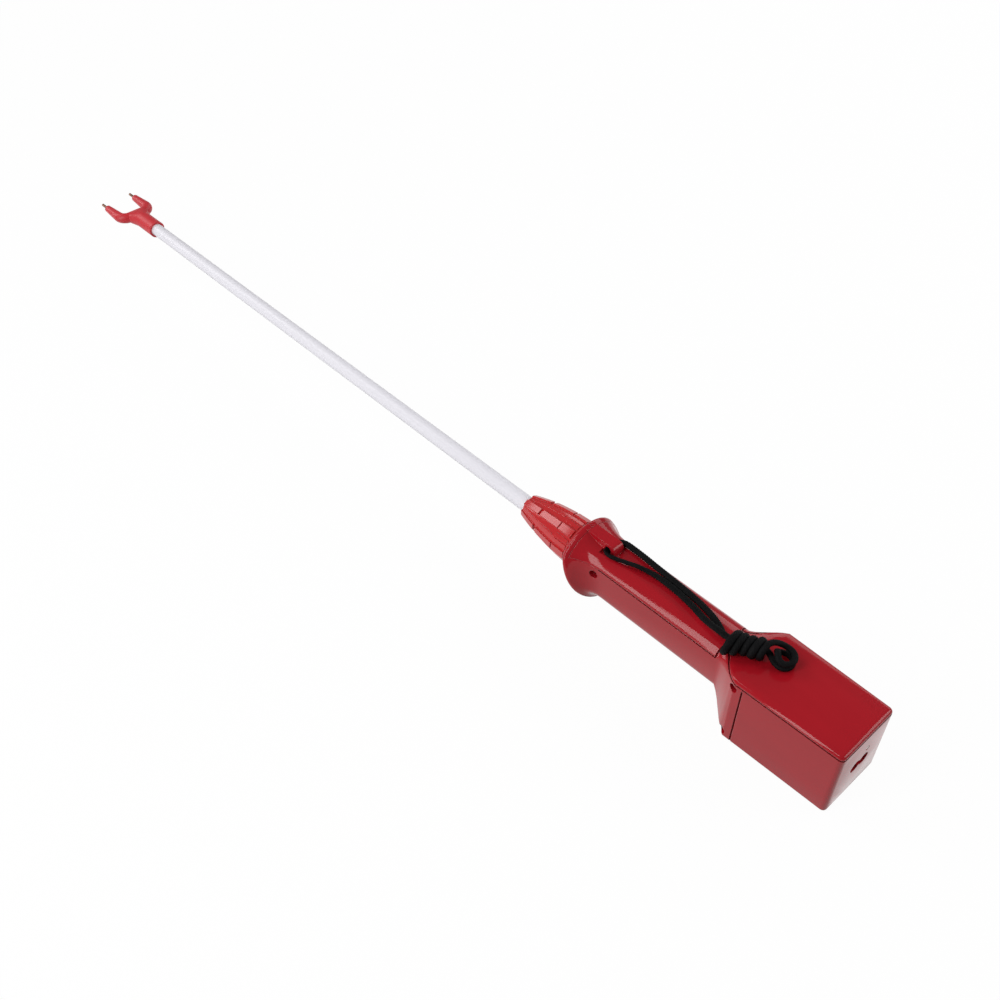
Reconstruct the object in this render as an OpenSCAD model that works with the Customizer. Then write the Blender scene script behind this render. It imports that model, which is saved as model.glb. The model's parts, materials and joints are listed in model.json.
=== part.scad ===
// Cattle prodder: forked head on a long shaft, clamped by a collet nut into a
// moulded handle with a raked guard, a trigger and a slide-off battery pack.
// Lengths are in millimetres. The part lies along X, fork towards -X, strap on top.

/* [Fork] */
// Length of electrode pin that stands out of each prong
pin_out = 9; // [5:0.5:14]
// Diameter of the electrode pins
pin_d = 2.4; // [1.6:0.1:3.2]
// Depth of each pin inside its prong
pin_depth = 18; // [12:1:22]
// Distance between the two prong axes
prong_pitch = 29.2; // [27:0.2:36]
// Diameter of a prong at its tip
prong_tip_d = 6.4; // [5.6:0.2:7]
// Diameter of a prong at its bend
prong_d = 9.4; // [8:0.2:10]
// Length from a prong's tip face to the crossbar axis
prong_l = 28.5; // [28:0.5:40]
// Bend radius between a prong and the crossbar
fork_bend_r = 7.5; // [6:0.5:9]
// Length from the crossbar axis to the rear face of the collar
stem_l = 36; // [32:1:50]
// Outer diameter of the collar that holds the shaft
collar_d = 15.2; // [14.6:0.2:17]

/* [Shaft] */
// Length of shaft between the fork collar and the nut
shaft_l = 497.5; // [300:0.5:900]
// Diameter of the shaft at the fork end
shaft_front_d = 11.2; // [10:0.1:11.6]
// Diameter of the shaft at the handle end
shaft_rear_d = 12.2; // [11.6:0.1:12.4]
// Bore of the shaft
shaft_bore_d = 7.2; // [6:0.1:8]
// Depth of the shaft inside the fork collar
fork_depth = 22; // [16:1:26]
// Depth of the shaft behind the rear of the nut
handle_depth = 11; // [8:0.5:14]
// Diameter of the conductors inside the shaft
conductor_d = 2; // [1:0.1:2.4]

/* [Nut] */
// Length of the collet nut
nut_l = 52.5; // [50:0.5:56]
// Diameter of the nut at its front edge
nut_front_d = 18; // [17:0.2:19]
// Diameter of the nut at its rear edge
nut_rear_d = 35; // [34:0.2:37]
// Outward bulge of the nut's arched side
nut_bulge = 2.2; // [1.6:0.1:2.6]
// Number of ribs round the nut
nut_ribs = 6; // [5:1:8]
// Height of the ribs over the nut's panels
nut_rib_h = 1.2; // [0.8:0.1:1.4]
// Width of the ribs
nut_rib_w = 4.6; // [4:0.1:5.4]
// Diameter of the threaded spigot under the nut
spigot_d = 23; // [22:0.2:23.6]
// Running clearance between the nut and the spigot, on the radius
nut_cl = 0.08; // [0.04:0.01:0.1]

/* [Handle] */
// Length from the flange's front face to the start of the grip
flange_l = 34; // [32:1:38]
// Radius of the guard's rim
rim_r = 27.3; // [26:0.1:30]
// Height of the rim's centre over the shaft axis
rim_z = -2.4; // [-3:0.1:0]
// Backward rake of the guard per millimetre of drop
rim_rake = 0.45; // [0.2:0.01:0.5]
// Thickness of the rim
rim_t = 5; // [4:0.2:6]
// Length of the grip
grip_l = 97; // [92:1:110]
// Width of the grip
grip_w = 32; // [31:0.2:36]
// Height of the grip's crown over the shaft axis
grip_top = 18; // [17.6:0.1:19]
// Depth of the grip's underside below the shaft axis
grip_bot = 19.4; // [19:0.1:21]
// Corner radius along the grip's underside
grip_r = 7; // [5:0.5:8]
// Length of the flare from the grip to the box
flare_l = 21; // [18:0.5:26]
// Wall between the grip's cavity and its side
grip_wall = 3; // [2.6:0.1:3.2]

/* [Cover] */
// Height of the parting line along the grip over the shaft axis
seam_z = 10.1; // [9.6:0.1:10.6]
// Height of the parting line along the box over the shaft axis
deck_z = 16.6; // [16.2:0.1:16.8]
// Gap at the parting lines
seam_gap = 0.2; // [0.1:0.05:0.3]
// Width of the strap lug
lug_w = 9; // [8:0.2:10]
// Height of the strap lug over the grip's crown
lug_h = 6; // [5:0.2:7]
// Diameter of the lug's cord hole
lug_hole_d = 5.2; // [4.8:0.1:5.6]
// Radius of the cord trough beside the lug
trough_r = 22; // [20:0.5:26]

/* [Box] */
// Length of the handle's band in front of the cross seam
band_l = 6; // [5:0.5:9]
// Length of the battery box beyond its cells
pack_room = 29; // [28:0.5:34]
// Width of the box at its front
box_front_w = 56; // [54:0.2:60]
// Width of the box at its end face
box_end_w = 52.8; // [52:0.2:56]
// Height of the box's top over the shaft axis
box_top = 19.6; // [19.4:0.1:20]
// Depth of the box's underside below the shaft axis
box_bot = 39; // [38.6:0.1:43]
// Radius of the box's top edges
box_top_r = 2.8; // [2:0.1:2.8]
// Radius of the box's bottom edges
box_bot_r = 2.6; // [2:0.1:4]
// Radius round the end face
box_end_r = 3.2; // [2:0.2:4]
// Thickness of the pack's end wall
end_wall = 3; // [2.6:0.1:4]
// Thickness of the pack's floor
pack_floor = 2.6; // [2:0.1:3]

/* [Trigger] */
// Length of the trigger button
trigger_l = 27; // [24:0.5:28]
// Width of the trigger button
trigger_w = 12; // [10:0.2:13]
// Height of the button below the grip's underside
trigger_out = 4.6; // [4:0.1:6]
// Travel of the trigger
trigger_travel = 3; // [2:0.1:3.4]
// Clearance round the trigger in its slot
trigger_cl = 0.4; // [0.3:0.05:0.6]

/* [Inside] */
// Diameter of the battery cells
cell_d = 22.3; // [21.8:0.1:22.4]
// Length of the battery cells
cell_l = 43; // [38:0.5:44]
// Thickness of the circuit board
board_t = 1.6; // [1:0.1:2]
// Diameter of the housing screws' shank
screw_d = 3; // [2.6:0.1:3.4]
// Diameter of the housing screws' head
screw_head_d = 5.6; // [5:0.1:6]
// Clearance between pieces that are fitted together
fit_cl = 0.15; // [0.1:0.01:0.2]

/* [Strap] */
// Diameter of the strap's cord
cord_d = 4.2; // [3.8:0.1:4.3]
// Turns in the wound part of the strap
hank_turns = 5; // [4:1:6]
// Gap between neighbouring turns
hank_gap = 0.98; // [0.94:0.02:1.1]

/* [Hidden] */
$fn = 64;
tiny = 0.01;

// Stations along the part, measured from the tips of the electrode pins
x_bar = pin_out + prong_l;
x_collar = x_bar + stem_l;
x_nut = x_collar + shaft_l;
x_nut_end = x_nut + nut_l;
flange_gap = 1;
x_flange = x_nut_end + flange_gap;
x_grip = x_flange + flange_l;
x_grip_end = x_grip + grip_l;
x_box = x_grip_end + flare_l;
x_seam = x_box + band_l;
pack_l = cell_l + pack_room;
x_end = x_seam + pack_l;
axis_h = box_bot;

// Places the model with its origin under the middle, at the height of the underside
module place() {
    translate([-x_end / 2, 0, axis_h]) children();
}

// Cylinder along X from x0 to x1
module rod(x0, x1, d, d2 = undef) {
    translate([x0, 0, 0])
        rotate([0, 90, 0])
            cylinder(h = x1 - x0, d1 = d, d2 = is_undef(d2) ? d : d2);
}

// Revolve about X of an outline given as [station, radius] points
module turned(outline) {
    rotate([0, 90, 0])
        rotate([0, 0, 180])
            rotate_extrude()
                polygon([for (p = outline) [p[1], p[0]]]);
}

// Box between two opposite corners
module block(lo, hi) {
    translate(lo) cube(hi - lo);
}

// Rectangle with round corners, centred
module round_rect(w, h, r) {
    square([w - 2 * r, h], center = true);
    square([w, h - 2 * r], center = true);
    for (sx = [-1, 1], sy = [-1, 1])
        translate([sx * (w / 2 - r), sy * (h / 2 - r)]) circle(r);
}

// Sections of the moulded housing: half outlines from the top centre, down the
// left side, to the bottom centre. Every section has the same count of points.
top_n = 9;
side_n = 13;
corner_n = 19;
last_n = 24;
function lerp(a, b, t) = a + (b - a) * t;
function grip_pt(j) =
    j <= top_n ? let (t = 90 * j / top_n)
        [-grip_w / 2 * sin(t), seam_z + (grip_top - seam_z) * cos(t)]
    : lower_pt(j, grip_w / 2, seam_z, grip_bot, grip_r);
function lower_pt(j, hw, z_side, bot, r) =
    j <= side_n ? [-hw, lerp(z_side, r - bot, (j - top_n) / (side_n - top_n))]
    : j <= corner_n ? let (t = 90 * (j - side_n) / (corner_n - side_n))
        [-(hw - r) - r * cos(t), r - bot - r * sin(t)]
    : [-(hw - r) * (last_n - j) / (last_n - corner_n), -bot];
flat_n = 5;
function box_pt(j, hw, top, bot, rt, rb) =
    j <= flat_n ? [-(hw - rt) * j / flat_n, top]
    : j <= top_n ? let (t = 90 * (j - flat_n) / (top_n - flat_n))
        [-(hw - rt) - rt * sin(t), top - rt + rt * cos(t)]
    : lower_pt(j, hw, top - rt, bot, rb);
function rim_pt(j, r) = let (t = 180 * j / last_n) [-r * sin(t), rim_z + r * cos(t)];
rake_z = 10;
function rake_at(z) = rim_rake * max(0, rake_z - z);

// Box section at a station, drawn in by an inset towards the end face
function box_hw(x) = lerp(box_front_w, box_end_w, (x - x_box) / (x_end - x_box)) / 2;
function box_ring(x, inset = 0) =
    [for (j = [0 : last_n])
        let (p = box_pt(j, box_hw(x) - inset, box_top - inset, box_bot - inset,
                max(box_top_r - inset, 0.6), max(box_bot_r - inset, 1)))
        [x, p[0], p[1]]];

// Guard: front face, round rim, then a hollow back that runs out into the grip
hub_r = 18;
rim_steps = 6;
back_steps = 8;
back_power = 2.8;
rim_arc = 135;
function x_rim(t) = x_flange + 1 + rim_t / 2 * (1 - cos(t));
function rim_at(t) = rim_r - 2.4 + 2.4 * sin(t);
function guard_ring(x, r, raked) =
    [for (j = [0 : last_n])
        let (p = rim_pt(j, r), full = rim_pt(j, rim_r))
        [x + raked * rake_at(full[1]), p[0], p[1]]];
function back_ring(t) =
    let (q = pow(1 - t, back_power))
    [for (j = [0 : last_n])
        let (g = grip_pt(j), f = rim_pt(j, rim_at(rim_arc)))
        [lerp(x_rim(rim_arc), x_grip, t) + (1 - t) * rake_at(f[1]),
            lerp(g[0], f[0], q), lerp(g[1], f[1], q)]];
function flare_mix(t) = 0.65 * t + 0.35 * (1 - cos(180 * t)) / 2;
flare_steps = 6;
function flare_ring(t) =
    let (b = box_ring(x_box))
    [for (j = [0 : last_n])
        let (g = grip_pt(j), m = flare_mix(t))
        [lerp(x_grip_end, x_box, t), lerp(g[0], b[j][1], m), lerp(g[1], b[j][2], m)]];
guard_rings = concat(
    [[for (j = [0 : last_n]) let (p = rim_pt(j, hub_r)) [x_flange, p[0], p[1]]]],
    [for (k = [0 : rim_steps])
        let (t = rim_arc * k / rim_steps)
        guard_ring(x_rim(t), rim_at(t), 1)]);
back_rings = [for (k = [1 : back_steps]) back_ring(k / back_steps)];
flare_rings = [for (k = [0 : flare_steps]) flare_ring(k / flare_steps)];
end_steps = 4;
end_rings = [for (k = [0 : end_steps])
    let (t = 90 * k / end_steps)
    box_ring(x_end - box_end_r * (1 - sin(t)), box_end_r * (1 - cos(t)))];

// Loft through closed rings of equal count
module loft(rings) {
    n = len(rings[0]);
    m = len(rings);
    polyhedron(
        points = [for (r = rings) each r],
        faces = concat(
            [[for (j = [0 : n - 1]) j]],
            [[for (j = [n - 1 : -1 : 0]) (m - 1) * n + j]],
            [for (k = [0 : m - 2], j = [0 : n - 1])
                let (a = k * n + j, b = k * n + (j + 1) % n)
                each [[a, a + n, b + n], [a, b + n, b]]]),
        convexity = 8);
}
// Whole rings mirrored from halves, down to a last point
function whole(ring, last) =
    concat([for (j = [0 : last]) ring[j]],
        [for (j = [last : -1 : 1]) if (abs(ring[j][1]) > tiny) [ring[j][0], -ring[j][1], ring[j][2]]]);

// Parting of the top cover: along the grip, then a step up to the deck of the box
x_cover = x_flange + 6.4;
x_step = x_grip_end - 2.5;
module cover_region(grow) {
    far = 60;
    block([x_cover - grow, -far, seam_z - grow], [x_step + grow, far, far]);
    block([x_step - 5, -far, deck_z - grow], [x_end + far, far, far]);
}

// Cavities inside the handle
cavity_top = 12.2;
cavity_bot = 16.6;
x_cavity_end = x_step - 1;
rear_cavity_w = 22;
rear_cavity_top = 6;
rear_cavity_bot = 14;
module handle_cavity() {
    mid = (cavity_top - cavity_bot) / 2;
    translate([x_grip, 0, mid])
        rotate([90, 0, 90])
            linear_extrude(x_cavity_end - x_grip)
                round_rect(grip_w - 2 * grip_wall, cavity_top + cavity_bot, 3);
    block([x_cavity_end - tiny, -rear_cavity_w / 2, -rear_cavity_bot],
        [x_seam + 1, rear_cavity_w / 2, rear_cavity_top]);
}

// Socket for the shaft, held between the handle halves
hub_d = 25;
hub_l = 20;
collar_w = 5;
collar_x = x_flange + 9;
socket_collar_d = 29;
x_hub_end = x_flange + hub_l;
module socket_seat() {
    rod(x_flange - 2, x_hub_end + fit_cl, hub_d + 2 * fit_cl);
    rod(collar_x - fit_cl, collar_x + collar_w + fit_cl, socket_collar_d + 2 * fit_cl);
}

// Housing screws across the two halves: front, rear upper, rear lower
screw_seat = grip_w / 2 - 6;
screw_reach = grip_w / 2 - 4;
screw_head_h = screw_head_d * 0.43;
screw_spots = [
    [x_hub_end + 4.5, 3.4],
    [x_box - 0.6, 11.8],
    [x_box - 1.6, -33.6]
];
module screw_holes(side) {
    for (s = screw_spots)
        translate([s[0], 0, s[1]])
            rotate([90, 0, 0])
                if (side < 0) {
                    translate([0, 0, screw_seat])
                        cylinder(h = 40, d = screw_head_d + 0.8);
                    translate([0, 0, -1])
                        cylinder(h = 40, d = screw_d + 0.2);
                } else {
                    translate([0, 0, -screw_reach - 1])
                        cylinder(h = screw_reach + 2, d = screw_d + 0.2);
                }
}

// Trigger place on the underside
x_trigger = x_grip + 8;
x_trigger_mid = x_trigger + trigger_l / 2;
trigger_plate_t = 2;
trigger_lip = 3;
trigger_plate_z = 0.3 - cavity_bot;
module trigger_slot() {
    translate([x_trigger_mid, 0, -grip_bot - 1])
        linear_extrude(grip_bot)
            round_rect(trigger_l + 2 * trigger_cl, trigger_w + 2 * trigger_cl, 5);
}

// Slot from the socket to the cavity for the output leads
lead_d = 1.8;
lead_z = -lead_d / 2 - 0.05;
module lead_slot() {
    block([x_hub_end - 1, -4, lead_z - lead_d / 2 - 0.5], [x_grip + 1, 4, lead_z + lead_d / 2 + 0.5]);
}

// Fork: tapered prongs, round bends and a web that runs from the crossbar into the collar
web_l = 11;
tip_bevel = 1;
module fork_head() {
    y_prong = prong_pitch / 2;
    color([0.76, 0.14, 0.17])
    difference() {
        union() {
            for (s = [-1, 1]) {
                translate([0, s * y_prong, 0]) {
                    rod(pin_out, pin_out + tip_bevel, prong_tip_d - 1.6 * tip_bevel, prong_tip_d);
                    rod(pin_out + tip_bevel, x_bar - fork_bend_r, prong_tip_d, prong_d);
                }
                translate([x_bar - fork_bend_r, s * (y_prong - fork_bend_r), 0])
                    rotate([0, 0, s > 0 ? 0 : -90])
                        rotate_extrude(angle = 90)
                            translate([fork_bend_r, 0]) circle(d = prong_d);
                hull() {
                    translate([x_bar, s * (y_prong - fork_bend_r), 0]) sphere(d = prong_d, $fn = 32);
                    translate([x_bar + web_l, 0, 0])
                        rotate([0, 90, 0]) cylinder(h = 2, d = collar_d - 0.6, $fn = 32);
                    translate([x_bar, 0, 0]) sphere(d = prong_d, $fn = 32);
                }
            }
            rod(x_bar + web_l + 1, x_collar, collar_d);
        }
        for (s = [-1, 1])
            translate([0, s * y_prong, 0])
                rod(pin_out - 1, pin_out + pin_depth + fit_cl, pin_d + 2 * fit_cl);
        rod(x_collar - fork_depth - fit_cl, x_collar + 1, shaft_front_d + 2 * fit_cl);
    }
}

module electrode_pins() {
    color([0.45, 0.31, 0.26])
    for (s = [-1, 1])
        translate([0, s * prong_pitch / 2, 0]) {
            rod(0.6, pin_out + pin_depth, pin_d);
            rod(0, 0.6, pin_d - 0.8, pin_d);
        }
}

x_shaft = x_collar - fork_depth;
x_shaft_end = x_nut_end + handle_depth;
module shaft_tube() {
    color([0.93, 0.92, 0.95])
    difference() {
        rod(x_shaft, x_shaft_end, shaft_front_d, shaft_rear_d);
        rod(x_shaft - 1, x_shaft_end + 1, shaft_bore_d);
    }
}

conductor_y = shaft_bore_d / 4;
module shaft_conductors() {
    color([0.72, 0.45, 0.25])
    for (s = [-1, 1])
        translate([0, s * conductor_y, 0]) rod(x_shaft + 1, x_shaft_end - 3.55, conductor_d);
}

// Collet nut: arched cone with notched ribs, a cross groove and raised pads at the rear
nut_hole_d = shaft_rear_d + 0.8;
nut_neck = 6;
washer_t = 1.6;
pocket_d = shaft_rear_d + 3.2;
collet_l = 16;
x_collet = x_nut + nut_neck + washer_t + 0.6;
x_spigot = x_collet + collet_l + 1;
nut_bore_d = spigot_d + 2 * nut_cl;
arch_steps = 12;
rib_turn = 23;
notch_w = 1.4;
pad_h = 0.5;
ring_h = 0.6;
function nut_r(t) = lerp(nut_front_d, nut_rear_d, t) / 2 + 4 * nut_bulge * t * (1 - t);
module nut_body(drop) {
    turned(concat(
        [[x_nut, 2]],
        [for (k = [0 : arch_steps]) [x_nut + nut_l * k / arch_steps, nut_r(k / arch_steps) - drop]],
        [[x_nut_end, 2]]));
}
// Flat-topped ribs round the nut between two shares of its length, as wide as w
rib_steps = 4;
module nut_bars(t0, t1, w, drop, turn) {
    for (k = [0 : nut_ribs - 1])
        rotate([rib_turn + turn + 360 / nut_ribs * k, 0, 0])
            rotate([90, 0, 0])
                linear_extrude(w, center = true)
                    polygon(concat([[x_nut + nut_l * t0, pocket_d / 2 + 1]],
                        [for (i = [0 : rib_steps]) let (t = lerp(t0, t1, i / rib_steps))
                            [x_nut + nut_l * t, nut_r(t) - drop]],
                        [[x_nut + nut_l * t1, pocket_d / 2 + 1]]));
}
module collet_nut() {
    notch_t = 0.24;
    cross_t = 0.58;
    pad_t = 0.89;
    pad_w = PI * nut_rear_d / nut_ribs - nut_rib_w - 5;
    notch = notch_w / nut_l;
    color([0.80, 0.17, 0.17])
    difference() {
        union() {
            nut_body(nut_rib_h);
            nut_bars(0, notch_t, nut_rib_w, 0, 0);
            nut_bars(notch_t + notch, cross_t, nut_rib_w + 0.8, 0, 0);
            nut_bars(cross_t + notch, pad_t, nut_rib_w + 1.6, 0.1, 0);
            intersection() {
                nut_body(nut_rib_h - pad_h);
                nut_bars(cross_t + notch, pad_t, pad_w, -4, 180 / nut_ribs);
            }
            intersection() {
                nut_body(nut_rib_h - ring_h);
                union() {
                    rod(x_nut_end - 4.4, x_nut_end - 3.2, nut_rear_d + 10);
                    rod(x_nut_end - 2, x_nut_end + 1, nut_rear_d + 10);
                }
            }
        }
        rod(x_nut - 1, x_nut_end + 1, nut_hole_d);
        rod(x_nut + nut_neck, x_collet, pocket_d);
        rod(x_collet - tiny, x_spigot, pocket_d, nut_bore_d);
        rod(x_spigot - tiny, x_nut_end + 1, nut_bore_d);
    }
}

module clamp_washer() {
    color([0.75, 0.76, 0.78])
    difference() {
        rod(x_nut + nut_neck + 0.1, x_nut + nut_neck + 0.1 + washer_t, pocket_d - 0.3);
        rod(x_nut, x_collet, nut_hole_d);
    }
}

// Collet with saw cuts, seated between the nut's cone and the spigot
module shaft_collet() {
    slots = 4;
    slot_w = 1;
    color([0.86, 0.84, 0.78])
    difference() {
        rod(x_collet + 0.2, x_spigot - 0.4, pocket_d - 0.7, nut_bore_d - 1.2);
        rod(x_collet - 1, x_spigot + 1, shaft_rear_d + 2 * fit_cl);
        for (k = [0 : slots - 1])
            rotate([45 + 360 / slots * k, 0, 0])
                block([x_collet - 1, -slot_w / 2, 0], [x_spigot - 5, slot_w / 2, spigot_d]);
    }
}

// Ring in the spigot's groove that keeps damp out of the thread
ring_d = 1.4;
ring_x = x_flange - 4;
module seal_ring() {
    color([0.1, 0.1, 0.1])
    rotate([0, 90, 0])
        rotate_extrude()
            translate([spigot_d / 2 - ring_d / 2 - 0.15, ring_x]) circle(d = ring_d, $fn = 24);
}

x_plug = x_shaft_end + 0.3;
x_plug_end = x_hub_end - 0.3;
socket_bore_d = shaft_rear_d + 2 * fit_cl;
module shaft_socket() {
    color([0.16, 0.16, 0.17])
    difference() {
        union() {
            rod(x_spigot, x_flange + 1, spigot_d);
            rod(x_flange + 0.2, x_hub_end, hub_d);
            rod(collar_x, collar_x + collar_w, socket_collar_d);
        }
        rod(x_spigot - 1, x_plug_end + 1, socket_bore_d);
        difference() {
            rod(ring_x - 1, ring_x + 1, spigot_d + 1);
            rod(ring_x - 2, ring_x + 2, spigot_d - 2 * ring_d - 0.6);
        }
    }
}

module contact_plug() {
    color([0.85, 0.83, 0.76])
    difference() {
        rod(x_plug, x_plug_end, shaft_rear_d - 0.1);
        for (s = [-1, 1])
            translate([0, s * conductor_y, 0])
                rod(x_plug - 1, x_plug_end + 1, conductor_d + 2 * fit_cl);
    }
}

module contact_pins() {
    color([0.78, 0.62, 0.28])
    for (s = [-1, 1])
        translate([0, s * conductor_y, 0])
            rod(x_shaft_end - 3.5, x_plug_end + 0.2, conductor_d);
}

// Handle halves
module handle_half(side) {
    difference() {
        union() {
            loft([for (r = concat(guard_rings, back_rings, flare_rings, [box_ring(x_seam - seam_gap / 2)]))
                whole(r, last_n)]);
            block([x_flange + 3.4, -lug_w / 2, 12], [x_cover + 1, lug_w / 2, lug_top]);
        }
        block([x_flange - 10, -seam_gap / 2, -80], [x_seam + 10, 80, 80]);
        cover_region(seam_gap / 2);
        handle_cavity();
        socket_seat();
        lead_slot();
        trigger_slot();
        mirror([0, side > 0 ? 1 : 0, 0]) screw_holes(side);
    }
}

module handle_left() {
    color([0.65, 0.11, 0.14]) handle_half(-1);
}

module handle_right() {
    color([0.65, 0.11, 0.14]) mirror([0, 1, 0]) handle_half(1);
}

// Top cover with the strap lug, the cord trough and the pack's rails
upper_n = 12;
x_lug_end = x_flange + 31;
x_lug_hole = x_flange + 25;
lug_hole_z = grip_top + 1.2;
lug_top = grip_top + lug_h;
lug_foot = grip_top - 5;
trough_z = grip_top - 2.8;
trough_tilt = 3.5;
trough_l = 80;
x_trough = x_flange + 20;
rail_leg_in = 17.6;
rail_leg_out = 20.2;
rail_foot_out = 22.4;
rail_foot_t = 2.2;
rail_drop = 5;
rail_inset = 6;
lip_gap = 0.4;
module cover_trough() {
    translate([x_trough, 0, trough_z + trough_r])
        rotate([0, 90 - trough_tilt, 0]) cylinder(h = trough_l, r = trough_r, $fn = 72);
}
module strap_lug() {
    round_r = 4;
    difference() {
        rotate([90, 0, 0])
            linear_extrude(lug_w, center = true) {
                polygon([[x_cover + seam_gap / 2, lug_foot], [x_cover + seam_gap / 2, lug_top],
                    [x_lug_end - round_r, lug_top], [x_lug_end, lug_top - round_r], [x_lug_end, lug_foot]]);
                translate([x_lug_end - round_r, lug_top - round_r]) circle(round_r);
            }
        translate([x_lug_hole, 0, lug_hole_z])
            rotate([90, 0, 0]) cylinder(h = lug_w + 2, d = lug_hole_d, center = true);
    }
}
module pack_rails() {
    z_foot = deck_z - rail_drop;
    for (s = [0, 1])
        mirror([0, s, 0]) {
            block([x_seam + rail_inset, rail_leg_in, z_foot],
                [x_end - rail_inset, rail_leg_out, deck_z + 1]);
            block([x_seam + rail_inset, rail_leg_in, z_foot],
                [x_end - rail_inset, rail_foot_out, z_foot + rail_foot_t]);
        }
}
module top_cover() {
    rings = concat([guard_rings[rim_steps + 1]], back_rings, flare_rings,
        [box_ring(x_end - box_end_r - 1)], end_rings);
    color([0.65, 0.11, 0.14])
    union() {
        difference() {
            intersection() {
                loft([for (r = rings) whole(r, upper_n)]);
                cover_region(-seam_gap / 2);
            }
            handle_cavity();
            socket_seat();
            cover_trough();
        }
        difference() {
            strap_lug();
            socket_seat();
        }
        pack_rails();
    }
}

module housing_screws() {
    color([0.6, 0.6, 0.62])
    for (s = screw_spots)
        translate([s[0], 0, s[1]])
            rotate([90, 0, 0]) {
                translate([0, 0, -screw_reach]) cylinder(h = screw_seat + screw_reach, d = screw_d);
                translate([0, 0, screw_seat + 0.05])
                    difference() {
                        cylinder(h = screw_head_h, d = screw_head_d);
                        translate([0, 0, screw_head_h - 1.2]) {
                            cube([screw_head_d * 0.7, 1, 3], center = true);
                            cube([1, screw_head_d * 0.7, 3], center = true);
                        }
                    }
                translate([0, 0, screw_seat - 0.1]) cylinder(h = 0.3, d = screw_d);
            }
}

// Trigger: button through the slot, retaining plate inside, stem for the spring
stem_d = 4;
x_stem = x_trigger + 6;
stem_h = 3.2;
module trigger() {
    color([0.12, 0.12, 0.13])
    union() {
        translate([x_trigger_mid, 0, -grip_bot - trigger_out + 1.5])
            linear_extrude(grip_bot + trigger_out - 1.5 + trigger_plate_z + 0.5)
                round_rect(trigger_l, trigger_w, 4.6);
        translate([x_trigger_mid, 0, -grip_bot - trigger_out])
            linear_extrude(1.6)
                round_rect(trigger_l - 2, trigger_w - 2, 4);
        translate([x_trigger_mid, 0, trigger_plate_z])
            linear_extrude(trigger_plate_t)
                round_rect(trigger_l + 2 * trigger_lip, trigger_w + 2 * trigger_lip, 3);
        translate([x_stem, 0, trigger_plate_z + trigger_plate_t - tiny]) cylinder(h = stem_h, d = stem_d);
    }
}

// Circuit board across the cavity, with the switch below and the power parts above
board_z = 0;
board_w = grip_w - 2 * grip_wall - 0.4;
x_board = x_grip + 2;
x_board_end = x_cavity_end - 2;
module circuit_board() {
    hole_d = 3.2;
    color([0.1, 0.35, 0.18])
    difference() {
        block([x_board, -board_w / 2, board_z], [x_board_end, board_w / 2, board_z + board_t]);
        for (x = [x_board + 5, x_board_end - 5])
            translate([x, board_w / 2 - 4, board_z - 1]) cylinder(h = board_t + 2, d = hole_d);
    }
}

spring_wire = 0.7;
spring_turns = 7;
spring_d = 6.2;
module trigger_spring() {
    z0 = trigger_plate_z + trigger_plate_t + 0.15 + spring_wire / 2;
    z1 = board_z - 0.15 - spring_wire / 2;
    steps = 12;
    total = spring_turns * steps;
    pts = [for (k = [0 : total])
        let (a = 360 * k / steps)
        [x_stem + spring_d / 2 * cos(a), spring_d / 2 * sin(a), lerp(z0, z1, k / total)]];
    color([0.7, 0.7, 0.72])
    tube(pts, [for (p = pts) [0, 0, 1]], spring_wire / 2, 6);
}

switch_l = 13;
switch_w = 6.4;
switch_h = 6.5;
module trigger_switch() {
    x_switch = x_trigger_mid + 2;
    z_plunger = trigger_plate_z + trigger_plate_t + trigger_travel + 0.3;
    color([0.14, 0.14, 0.15])
    union() {
        block([x_switch, -switch_w / 2, board_z - 0.1 - switch_h],
            [x_switch + switch_l, switch_w / 2, board_z - 0.1]);
        translate([x_switch + 4, 0, z_plunger])
            cylinder(h = board_z - switch_h - z_plunger + 0.5, d = 2.4);
    }
}

// Power parts in a row along the rear of the board
power_gap = 3;
can_l = grip_l * 0.206;
core_l = grip_l * 0.247;
x_cans = x_cavity_end - 8 - can_l;
x_power = x_cans - power_gap - core_l;
module transformer() {
    core_w = grip_w * 0.625;
    core_h = 9.6;
    z0 = board_z + board_t + 0.1;
    color([0.2, 0.19, 0.2])
    union() {
        difference() {
            block([x_power, -core_w / 2, z0], [x_power + core_l, core_w / 2, z0 + core_h]);
            for (s = [-1, 1])
                translate([x_power + core_l / 2, s * core_w / 3.2, z0 - 1])
                    linear_extrude(core_h + 2) square([core_l - 8, 4], center = true);
        }
        translate([x_power + 3.9, 0, z0 + core_h / 2]) rod(0, core_l - 7.8, core_h - 0.4);
    }
}

module capacitors() {
    can_d = 9;
    color([0.15, 0.2, 0.4])
    for (s = [-1, 1])
        translate([0, s * (can_d / 2 + 0.4), board_z + board_t + 0.1 + can_d / 2])
            rod(x_cans, x_cans + can_l, can_d);
}

module output_leads() {
    color([0.7, 0.12, 0.1])
    for (s = [-1, 1])
        translate([0, s * conductor_y, lead_z])
            rod(x_hub_end, x_board + 4, lead_d);
}

// Contacts between the handle and the pack
contact_y = 6;
blade_t = 0.8;
blade_h = 6;
x_block = x_grip_end + 2;
block_l = 8;
clip_l = 12;
module contact_block() {
    color([0.2, 0.2, 0.2])
    block([x_block, -rear_cavity_w / 2 + 0.2, -rear_cavity_bot + 0.2],
        [x_block + block_l, rear_cavity_w / 2 - 0.2, rear_cavity_top - 0.2]);
}

contact_z = (rear_cavity_top - rear_cavity_bot) / 2;
module contact_clips() {
    leaf_t = 0.6;
    color([0.78, 0.62, 0.28])
    for (s = [-1, 1], side = [-1, 1])
        let (y = s * contact_y + side * (blade_t / 2 + 0.3 + leaf_t / 2))
            translate([x_block + block_l + 0.1, y - leaf_t / 2, contact_z - blade_h / 2])
                cube([clip_l, leaf_t, blade_h]);
}

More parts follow.
